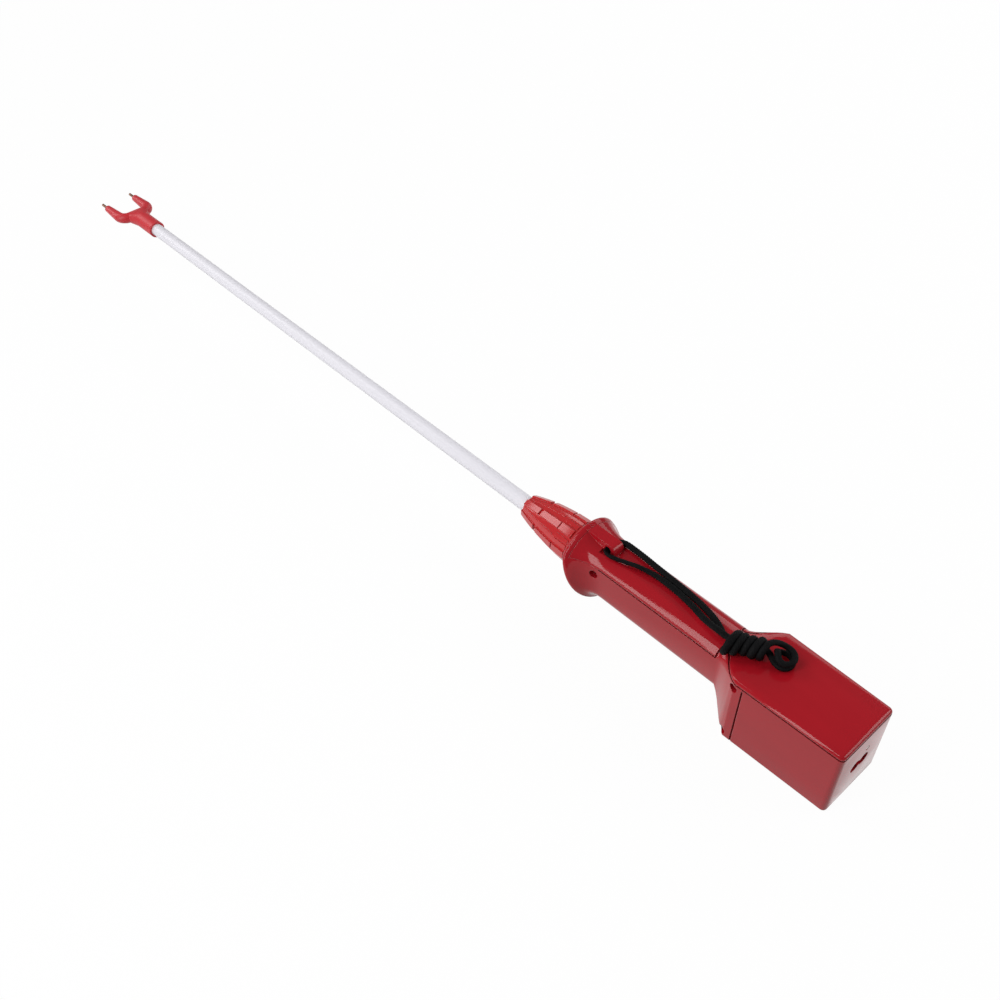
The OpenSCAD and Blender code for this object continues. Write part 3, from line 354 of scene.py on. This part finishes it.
def evened(pts, step):
    """The same line at even steps."""
    out, left = [pts[0].copy()], step
    for a, b in zip(pts, pts[1:]):
        d = (b - a).length
        at = 0.0
        while d - at >= left:
            at += left
            out.append(a.lerp(b, at / d))
            left = step
        left -= d - at
    return out


line = evened(route, CORD_STEP)
hank_from = sum((b - a).length for a, b in zip(route, route[1:route.index(hank[0]) + 1]))
hank_run = sum((b - a).length for a, b in zip(hank, hank[1:]))
turns_at = len(core) + len(bight)
turns_from = hank_from + sum((b - a).length for a, b in zip(hank, hank[1:turns_at + 1]))
hank_axis = Vector((math.cos(math.radians(HANK_TURN)), math.sin(math.radians(HANK_TURN)), 0))
for _ in range(LINE_PASSES):
    line = [line[0]] + [(a + 2 * b + c) / 4 for a, b, c in zip(line, line[1:], line[2:])] + [line[-1]]


def within(run, start):
    """How far into the hank from its given start a point of the cord lies, from 0 outside to 1 inside."""
    return clamped((run - start) / EASE) * clamped((hank_from + hank_run - run) / EASE)


def braid(pts, r, around, carriers, cell):
    """Mesh of a braided cord with woven carriers: flat in the strands, fuller in the loop and the turns."""
    count = len(pts)
    ways, runs = [], [0.0]
    for i, p in enumerate(pts):
        ways.append((pts[min(i + 1, count - 1)] - pts[max(i - 1, 0)]).normalized())
        if i:
            runs.append(runs[-1] + (p - pts[i - 1]).length)
    # The flat side leans on the lug, lies on the grip further back, and is wound round the hank's axis
    faces = []
    for i, d in enumerate(ways):
        if turns_from < runs[i] < hank_from + hank_run:
            face = Matrix.Rotation(TILT * math.sin(runs[i] / TILT_RUN), 3, d) @ d.cross(hank_axis)
        elif runs[i] < hank_from:
            face = LEAN.lerp(Vector((0, 0, 1)), clamped((runs[i] - LEAN_TO) / LEAN_OVER))
        else:
            face = Vector((0, 0, 1))
        face = (face - d * face.dot(d)).normalized()
        faces.append(-face if i and face.dot(faces[-1]) < 0 else face)
    for _ in range(FACE_PASSES):
        inner = [(a + b + c).normalized() for a, b, c in zip(faces, faces[1:], faces[2:])]
        faces = faces[:1] + inner + faces[-1:]
    bm = bmesh.new()
    rings = []
    for i, p in enumerate(pts):
        thin = (faces[i] - ways[i] * faces[i].dot(ways[i])).normalized()
        wide = ways[i].cross(thin)
        looped, turned = within(runs[i], hank_from), within(runs[i], turns_from)
        swell = 1 + SWELL * math.sin(runs[i] / SWELL_RUN) * turned
        half_w = r * lerp(lerp(STRAND_W, LOOP_W, looped), TURN_W * swell, turned)
        half_t = r * lerp(lerp(STRAND_T, LOOP_T, looped), TURN_T * swell, turned)
        ring = []
        for k in range(around):
            a = 2 * math.pi * k / around
            u = carriers * k / around + runs[i] / cell
            v = carriers * k / around - runs[i] / cell
            fu, fv = u - math.floor(u), v - math.floor(v)
            over = (math.floor(u) + math.floor(v)) % 2 == 0
            cross, lengthwise = (fu, fv) if over else (fv, fu)
            h = math.sin(math.pi * cross) ** RELIEF_ROUND * (0.5 + 0.5 * math.sin(math.pi * lengthwise))
            relief = r * RELIEF * (h - RELIEF_MEAN)
            at = wide * (math.cos(a) * (half_w + relief)) + thin * (math.sin(a) * (half_t + relief))
            ring.append(bm.verts.new(place(p + at)))
        rings.append(ring)
    skinned(bm, rings)
    bmesh.ops.recalc_face_normals(bm, faces=bm.faces[:])
    me = bpy.data.meshes.new("wrist_cord")
    bm.to_mesh(me)
    bm.free()
    me.shade_smooth()
    return me


cord = link(bpy.data.objects.new("wrist_cord", braid(line, CORD_D / 2, around=32, carriers=8, cell=2.0)))
cord.data.materials.append(mats["strap_cord"])
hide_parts("wrist_strap", "strap_hank")
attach(cord, "handle")

# Sections of the moulded housing, from the top centre down the left side to the bottom centre
TOP_N, SIDE_N, CORNER_N, LAST_N, FLAT_N = 9, 13, 19, 24, 5
# Guard: height below which it is raked, its rim's rounding and setback, front ring's radius, fall of its back
RAKE_FROM, RIM_IN, RIM_SET, FLANGE_R, BACK_FALL = 10, 2.4, 1, 18, 2.8
FLARE_EVEN = 0.65  # share of the flare that widens evenly; the rest eases in and out
END_TOP_R, END_BOT_R = 0.6, 1  # least corner radii where the box rounds into its end face


def lower_pt(j, hw, z_side, bot, r):
    if j <= SIDE_N:
        return -hw, lerp(z_side, r - bot, (j - TOP_N) / (SIDE_N - TOP_N))
    if j <= CORNER_N:
        t = math.pi / 2 * (j - SIDE_N) / (CORNER_N - SIDE_N)
        return -(hw - r) - r * math.cos(t), r - bot - r * math.sin(t)
    return -(hw - r) * (LAST_N - j) / (LAST_N - CORNER_N), -bot


def grip_pt(j):
    if j <= TOP_N:
        t = math.pi / 2 * j / TOP_N
        return -GRIP_W / 2 * math.sin(t), SEAM_Z + (GRIP_TOP - SEAM_Z) * math.cos(t)
    return lower_pt(j, GRIP_W / 2, SEAM_Z, GRIP_BOT, GRIP_R)


def box_pt(j, hw, top, bot, rt, rb):
    if j <= FLAT_N:
        return -(hw - rt) * j / FLAT_N, top
    if j <= TOP_N:
        t = math.pi / 2 * (j - FLAT_N) / (TOP_N - FLAT_N)
        return -(hw - rt) - rt * math.sin(t), top - rt + rt * math.cos(t)
    return lower_pt(j, hw, top - rt, bot, rb)


def rim_pt(j, r):
    t = math.pi * j / LAST_N
    return -r * math.sin(t), RIM_Z + r * math.cos(t)


JS = [k / 3 for k in range(LAST_N * 3 + 1)]


def rake_at(z):
    return RIM_RAKE * max(0, RAKE_FROM - z)


def box_ring(x, inset=0.0):
    hw = lerp(BOX_FRONT_W, BOX_END_W, (x - X_BOX) / (X_END - X_BOX)) / 2
    return [(x, *box_pt(j, hw - inset, BOX_TOP - inset, BOX_BOT - inset,
                        max(BOX_TOP_R - inset, END_TOP_R), max(BOX_BOT_R - inset, END_BOT_R))) for j in JS]


def guard_ring(x, r):
    return [(x + rake_at(rim_pt(j, RIM_R)[1]), *rim_pt(j, r)) for j in JS]


def x_rim(t):
    return X_FLANGE + RIM_SET + RIM_T / 2 * (1 - math.cos(t))


def rim_at(t):
    return RIM_R - RIM_IN + RIM_IN * math.sin(t)


def back_ring(t):
    q = (1 - t) ** BACK_FALL
    out = []
    for j in JS:
        g, f = grip_pt(j), rim_pt(j, rim_at(RIM_ARC))
        out.append((lerp(x_rim(RIM_ARC), X_GRIP, t) + (1 - t) * rake_at(f[1]),
                    lerp(g[0], f[0], q), lerp(g[1], f[1], q)))
    return out


def flare_ring(t):
    m = FLARE_EVEN * t + (1 - FLARE_EVEN) * (1 - math.cos(math.pi * t)) / 2
    return [(lerp(X_GRIP_END, X_BOX, t), lerp(g[0], b[1], m), lerp(g[1], b[2], m))
            for g, b in zip([grip_pt(j) for j in JS], box_ring(X_BOX))]


def span(n):
    return [k / n for k in range(n + 1)]


guard_rings = [[(X_FLANGE, *rim_pt(j, FLANGE_R)) for j in JS]] + [
    guard_ring(x_rim(RIM_ARC * t), rim_at(RIM_ARC * t)) for t in span(20)] + [
    back_ring(t) for t in span(32)[1:]] + [
    [(x, *grip_pt(j)) for j in JS] for x in (X_GRIP + 30, X_GRIP + 60, X_STEP, X_GRIP_END)]
flare_rings = [flare_ring(t) for t in span(24)]
box_rings = [box_ring(lerp(X_BOX, X_END - BOX_END_R - 1, t)) for t in span(6)] + [
    box_ring(X_END - BOX_END_R * (1 - math.sin(t * math.pi / 2)), BOX_END_R * (1 - math.cos(t * math.pi / 2)))
    for t in span(16)]


class Skin:
    """A smooth stretch of the housing's outside, for its normals and for the lines of the seams."""

    def __init__(self, rings):
        self.bm = bmesh.new()
        rows = []
        for r in rings:
            whole = list(r) + [(p[0], -p[1], p[2]) for p in r[-2:0:-1]]
            rows.append([self.bm.verts.new(place(p)) for p in whole])
        n = len(rows[0])
        for a, b in zip(rows, rows[1:]):
            for k in range(n):
                self.bm.faces.new((a[k], b[k], b[(k + 1) % n], a[(k + 1) % n]))
        bmesh.ops.triangulate(self.bm, faces=self.bm.faces[:])
        self.bm.normal_update()
        self.bm.faces.ensure_lookup_table()
        self.tree = BVHTree.FromBMesh(self.bm)

    def normal(self, co):
        at, _, i, far = self.tree.find_nearest(co)
        f = self.bm.faces[i]
        w = poly_3d_calc([v.co for v in f.verts], at)
        n = Vector()
        for v, k in zip(f.verts, w):
            n += v.normal * k
        return n.normalized(), far

    def cut(self, spot, across, keep):
        """Lines where a plane cuts the skin and keep(point in millimetres) holds, in a fixed order."""
        bm = self.bm.copy()
        got = bmesh.ops.bisect_plane(bm, geom=bm.verts[:] + bm.edges[:] + bm.faces[:], dist=1e-9,
                                     plane_co=place(spot), plane_no=across)["geom_cut"]

        def ok(v):
            return keep((v.co.x * 1000 + X_END / 2, v.co.y * 1000, v.co.z * 1000 - AXIS_H))
        edges = [e for e in got if isinstance(e, bmesh.types.BMEdge) and ok(e.verts[0]) and ok(e.verts[1])]
        lines = []
        while edges:
            chain = list(edges.pop().verts)
            for _ in range(2):  # on from one end, then from the other
                while True:
                    tip = chain[-1]
                    e = next((x for x in tip.link_edges if x in edges), None)
                    if e is None:
                        break
                    edges.remove(e)
                    chain.append(e.other_vert(tip))
                chain.reverse()
            pts = [v.co.copy() for v in chain]
            lines.append(min(pts, pts[::-1], key=lambda way: tuple(way[0])))
        bm.free()
        return sorted(lines, key=lambda pts: tuple(pts[0]))


skins = [Skin(guard_rings), Skin(flare_rings), Skin(box_rings)]


def skin_at(x):
    s = x * 1000 + X_END / 2
    return skins[0] if s < X_GRIP_END else skins[1] if s < X_BOX else skins[2]


# Seam grooves, in metres
GROOVE_HALF_W, GROOVE_DEPTH, GROOVE_PROUD, GROOVE_STEP, GROOVE_TAPER = 0.0006, 0.0017, 0.0004, 0.0004, 0.8
# In millimetres: how far a cutting plane keeps off the skin's own points, and a seam runs over its end
BESIDE, SLACK = 0.013, 0.1
X_SEAM_FROM = X_GRIP - 6  # the seam along the grip starts in the guard
UNDER_ENDS = X_SEAM - 0.2, X_BOX + 0.5  # the box's stretch of the seam underneath


def groove(pts):
    """Cutter for a fine channel along a line on the housing; its faces carry a darker red, painted shade for
    the groove's depth.
    """
    bm = bmesh.new()
    rows = []
    thin = [pts[0]]
    for p in pts[1:]:
        if (p - thin[-1]).length > GROOVE_STEP:
            thin.append(p)
    n = len(thin)
    for i, p in enumerate(thin):
        d = (thin[min(i + 1, n - 1)] - thin[max(i - 1, 0)]).normalized()
        up = skin_at(p.x).normal(p)[0]
        side = d.cross(up).normalized()
        rows.append([bm.verts.new(q) for q in (
            p - up * GROOVE_DEPTH + side * GROOVE_HALF_W * GROOVE_TAPER,
            p + side * GROOVE_HALF_W + up * GROOVE_PROUD,
            p - side * GROOVE_HALF_W + up * GROOVE_PROUD,
            p - up * GROOVE_DEPTH - side * GROOVE_HALF_W * GROOVE_TAPER)])
    skinned(bm, rows)
    bmesh.ops.recalc_face_normals(bm, faces=bm.faces[:])
    me = bpy.data.meshes.new("cutter")
    bm.to_mesh(me)
    bm.free()
    # The channel's faces pass this darker red to the shell: painted shade inside the seam grooves
    me.materials.append(mats["seam_painted_shade"])
    return me


ZP, XP, YP = Vector((0, 0, 1)), Vector((1, 0, 0)), Vector((0, 1, 0))
seams = {
    "grip": skins[0].cut((0, 0, SEAM_Z + BESIDE), ZP, lambda p: X_SEAM_FROM < p[0] < X_STEP + SLACK),
    "step": skins[0].cut((X_STEP, 0, 0), XP, lambda p: SEAM_Z - SLACK < p[2] < DECK_Z + SLACK),
    "ledge": skins[0].cut((0, 0, DECK_Z), ZP, lambda p: p[0] > X_STEP - SLACK),
    "flare": skins[1].cut((0, 0, DECK_Z), ZP, lambda p: True),
    "deck": skins[2].cut((0, 0, DECK_Z), ZP, lambda p: True),
    "cross": skins[2].cut((X_SEAM, 0, 0), XP, lambda p: p[2] < DECK_Z + SLACK),
}
# The joint of the halves under the housing: box, flare and grip in one line
under = [place((lerp(*UNDER_ENDS, t), BESIDE, -BOX_BOT)) for t in (0, 0.5, 1)]
for skin in (skins[1], skins[0]):
    part = max(skin.cut((0, BESIDE, 0), YP, lambda p: p[2] < 0), key=len)
    under += part if part[0].x > part[-1].x else part[::-1]
seams["under"] = [under]
shells = {
    "handle_left": ("handle", ["grip", "step", "ledge", "flare", "deck", "cross", "under"]),
    "handle_right": ("handle", ["grip", "step", "ledge", "flare", "deck", "cross", "under"]),
    "top_cover": ("handle", ["grip", "step", "ledge", "flare", "deck"]),
    "battery_case": ("battery_pack", ["deck", "cross"]),
}

# A face takes the skin's normals where it lies this near to it, in metres, and faces nearly the same way
SKIN_NEAR, SKIN_ALIKE = 0.00035, 0.92
SHARP = math.radians(28)
MERGE = 2e-6  # metres
CAD_SHARP = math.radians(30)


def shell(name, body, lines):
    """A housing shell on its CAD shape, with grooved seams and even, smooth reflections."""
    me = nodes[name].data.copy()
    bm = bmesh.new()
    bm.from_mesh(me)
    bmesh.ops.remove_doubles(bm, verts=bm.verts[:], dist=MERGE)
    bm.to_mesh(me)
    bm.free()
    me.materials.clear()
    me.materials.append(mats["housing_red"])
    o = link(bpy.data.objects.new(name + "_shell", me))
    cutters = []
    for key in lines:
        for pts in seams[key]:
            c = link(bpy.data.objects.new("cutter", groove(pts)))
            b = o.modifiers.new("seam", "BOOLEAN")
            b.object, b.operation, b.solver, b.material_mode = c, "DIFFERENCE", "EXACT", "TRANSFER"
            cutters.append(c)
    bpy.context.view_layer.update()
    out = bpy.data.meshes.new_from_object(o.evaluated_get(bpy.context.evaluated_depsgraph_get()))
    o.modifiers.clear()
    o.data = out
    for c in cutters:
        bpy.data.meshes.remove(c.data)
    if "custom_normal" in out.attributes:
        out.attributes.remove(out.attributes["custom_normal"])
    out.shade_smooth()
    out.set_sharp_from_angle(angle=SHARP)
    normals = [Vector(c.vector) for c in out.corner_normals]
    for p in out.polygons:
        skin = skin_at(p.center.x)
        n, far = skin.normal(p.center)
        if far < SKIN_NEAR and n.dot(p.normal) > SKIN_ALIKE:
            for i in p.loop_indices:
                normals[i] = skin.normal(out.vertices[out.loops[i].vertex_index].co)[0]
    out.normals_split_custom_set(normals)
    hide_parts(name)
    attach(o, body)


for key, (body, lines) in shells.items():
    shell(key, body, lines)

# Collet nut: turned body with three flat bars on each of six ribs, pads, thin ridges and end rings
NUT_RIBS, NUT_TURN, BAR_H, NUT_BULGE = 6, 30, 1.2, 2.2
NUT_FRONT_R, NUT_REAR_R = 9, 17.5
NUT_RINGS = [(0.958, 0.974, 0.5), (0.982, 1.0, 0.75)]
NUT_BORE = [(X_NUT_END, 11.58), (X_NUT + 25.2, 11.58), (X_NUT + 8.2, 7.7), (X_NUT + 6, 7.7),
            (X_NUT + 6, 6.5), (X_NUT, 6.5)]
# Bars: from and to along the nut, and widths at both ends in millimetres
FRONT_BAR, MIDDLE_BAR, REAR_BAR = (0.0, 0.31), (0.36, 0.7), (0.72, 0.945)
FRONT_W, MIDDLE_W, REAR_W = (4.4, 4.6), (4.8, 5.2), (5.6, 6.2)
PAD_W, PAD_TURN, PAD_H = (2.6, 3), 22.5, 0.55
RIDGE, RIDGE_W, RIDGE_H = (0.06, 0.66), (1.0, 1.4), 0.4
NUT_AROUND, NUT_STEPS, BAR_STEPS, BAR_SUNK, BAR_SLOPE = 96, 40, 8, 1.2, 0.35


def nut_r(t):
    return lerp(NUT_FRONT_R, NUT_REAR_R, t) + 4 * NUT_BULGE * t * (1 - t)


def nut_point(t, angle, across, r):
    c, s = math.cos(math.radians(angle)), math.sin(math.radians(angle))
    return place((lerp(X_NUT, X_NUT_END, t), -r * s - across * c, r * c - across * s))


def nut_bar(bm, t0, t1, w0, w1, angle, rise):
    """A flat-topped bar along the nut, sunk in its body."""
    rows = []
    for i in range(BAR_STEPS + 1):
        t = lerp(t0, t1, i / BAR_STEPS)
        w = lerp(w0, w1, i / BAR_STEPS) / 2
        top = nut_r(t) - BAR_H + rise
        low = top - rise - BAR_SUNK
        rows.append([bm.verts.new(nut_point(t, angle, x, y)) for x, y in (
            (-w - BAR_SLOPE, low), (-w, top), (w, top), (w + BAR_SLOPE, low))])
    skinned(bm, rows)


def dressed_nut():
    """The nut's turned body and bore with its bars, in place of the plain one."""
    bm = bmesh.new()
    profile = []
    for t in span(NUT_STEPS):
        extra = max([h for a, b, h in NUT_RINGS if a <= t <= b] + [0])
        profile.append((lerp(X_NUT, X_NUT_END, t), nut_r(t) - BAR_H + extra))
    profile += NUT_BORE
    angles = [2 * math.pi * k / NUT_AROUND for k in range(NUT_AROUND)]
    rows = [[bm.verts.new(place((x, -r * math.sin(a), r * math.cos(a)))) for a in angles]
            for x, r in profile]
    for a, b in zip(rows, rows[1:] + rows[:1]):
        for k in range(NUT_AROUND):
            n = (k + 1) % NUT_AROUND
            bm.faces.new((a[k], b[k], b[n], a[n]))
    for n in range(NUT_RIBS):
        angle = NUT_TURN + 360 / NUT_RIBS * n
        for ends, widths in ((FRONT_BAR, FRONT_W), (MIDDLE_BAR, MIDDLE_W), (REAR_BAR, REAR_W)):
            nut_bar(bm, *ends, *widths, angle, BAR_H)
        for side in (-PAD_TURN, PAD_TURN):
            nut_bar(bm, *REAR_BAR, *PAD_W, angle + side, PAD_H)
        nut_bar(bm, *RIDGE, *RIDGE_W, angle + 180 / NUT_RIBS, RIDGE_H)
    bmesh.ops.recalc_face_normals(bm, faces=bm.faces[:])
    me = bpy.data.meshes.new("nut_dressed")
    bm.to_mesh(me)
    bm.free()
    me.shade_smooth()
    me.set_sharp_from_angle(angle=SHARP)
    o = link(bpy.data.objects.new("nut_dressed", me))
    me.materials.append(mats["nut_red"])
    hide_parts("collet_nut")
    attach(o, "collet_nut")


dressed_nut()

# Trigger spring: its upper end stays on the board while the trigger rises; here the coil is a steel copy that
# moves with the trigger
spring_mesh = nodes["trigger_spring"].data.copy()
spring_mesh.materials.clear()
spring_mesh.materials.append(mats["steel"])
spring_mesh.shade_smooth()
spring = link(bpy.data.objects.new("spring_coil", spring_mesh))
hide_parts("trigger_spring")
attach(spring, "trigger")
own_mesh(spring)


# CAD pieces that stay: smooth shading up to an angle, and the materials of their slots
def soft_shading():
    g = bpy.data.node_groups.new("soft_shading", "GeometryNodeTree")
    g.interface.new_socket("Geometry", in_out="INPUT", socket_type="NodeSocketGeometry")
    g.interface.new_socket("Geometry", in_out="OUTPUT", socket_type="NodeSocketGeometry")
    start, end = add(g, "NodeGroupInput"), add(g, "NodeGroupOutput")
    merged = add(g, "GeometryNodeMergeByDistance", {"Geometry": start.outputs[0], "Distance": MERGE})
    bare = add(g, "GeometryNodeRemoveAttribute", {"Geometry": merged.outputs[0], "Name": "custom_normal"})
    smooth = add(g, "GeometryNodeSetShadeSmooth", {"Geometry": bare.outputs[0], "Shade Smooth": True})
    angle = add(g, "GeometryNodeInputMeshEdgeAngle").outputs["Unsigned Angle"]
    sharp = add(g, "FunctionNodeCompare", {0: angle, 1: CAD_SHARP}, operation="GREATER_THAN")
    keep = add(g, "GeometryNodeSetShadeSmooth", {"Geometry": smooth.outputs[0], "Selection": sharp.outputs[0],
                                                 "Shade Smooth": False}, domain="EDGE")
    g.links.new(keep.outputs[0], end.inputs[0])
    return g


shading = soft_shading()
for entry in frame["record"]["subparts"]:
    o = nodes[entry["node"]]
    if o.hide_render:
        continue
    o.data.materials.clear()
    o.data.materials.append(mats[entry["material_slot"]])
    o.modifiers.new("shading", "NODES").node_group = shading

# Pale floor, even sky and soft studio lamps
FLOOR_HALF, FLOOR_DROP = 6, 0.0006  # metres
FLOOR_PALE, FLOOR_GLOW, GLOW_SHARE, SKY = 0.42, 1.05, 0.92, 0.25
floor_bm = bmesh.new()
bmesh.ops.create_grid(floor_bm, x_segments=8, y_segments=8, size=FLOOR_HALF)
floor_me = bpy.data.meshes.new("floor")
floor_bm.to_mesh(floor_me)
floor_bm.free()
floor = link(bpy.data.objects.new("floor", floor_me))
floor.location.z = -FLOOR_DROP
fm = bpy.data.materials.new("floor")
fm.use_nodes = True
ft = fm.node_tree
ft.nodes.clear()
path = add(ft, "ShaderNodeLightPath")
seen = add(ft, "ShaderNodeMath", {0: path.outputs["Is Camera Ray"], 1: path.outputs["Is Glossy Ray"]},
           operation="MAXIMUM").outputs[0]
seen = add(ft, "ShaderNodeMath", {0: seen, 1: path.outputs["Is Transmission Ray"]},
           operation="MAXIMUM").outputs[0]
pale = add(ft, "ShaderNodeBsdfDiffuse", {"Color": (FLOOR_PALE, FLOOR_PALE, FLOOR_PALE, 1)})
glow = add(ft, "ShaderNodeEmission", {"Color": (1, 1, 1, 1), "Strength": FLOOR_GLOW})
share = add(ft, "ShaderNodeMath", {0: seen, 1: GLOW_SHARE}, operation="MULTIPLY").outputs[0]
both = add(ft, "ShaderNodeMixShader", {0: share, 1: pale.outputs[0], 2: glow.outputs[0]})
add(ft, "ShaderNodeOutputMaterial", {"Surface": both.outputs[0]})
floor.data.materials.append(fm)

world = bpy.data.worlds.new("studio")
world.use_nodes = True
world.node_tree.nodes["Background"].inputs["Color"].default_value = (1, 1, 1, 1)
world.node_tree.nodes["Background"].inputs["Strength"].default_value = SKY
scene.world = world


def softbox(name, at, aim, width, height, power):
    data = bpy.data.lights.new(name, "AREA")
    data.shape, data.size, data.size_y, data.energy = "RECTANGLE", width, height, power
    o = link(bpy.data.objects.new(name, data))
    o.location = at
    o.rotation_euler = (Vector(aim) - Vector(at)).to_track_quat("-Z", "Y").to_euler()


HAND = Vector((0.28, 0, 0.04))
softbox("key", at=(-0.17, -1.34, 0.84), aim=HAND, width=0.48, height=1.8, power=15.5)
softbox("front", at=(-2.95, -1.2, 2.05), aim=(0.17, 0, 0.05), width=1.27, height=3.1, power=42)
softbox("back", at=(-0.1, 1.6, 0.95), aim=(0.05, 0, 0.04), width=2.0, height=0.7, power=8)
softbox("fill", at=(1.3, 0.9, 0.8), aim=HAND, width=0.8, height=0.8, power=7)
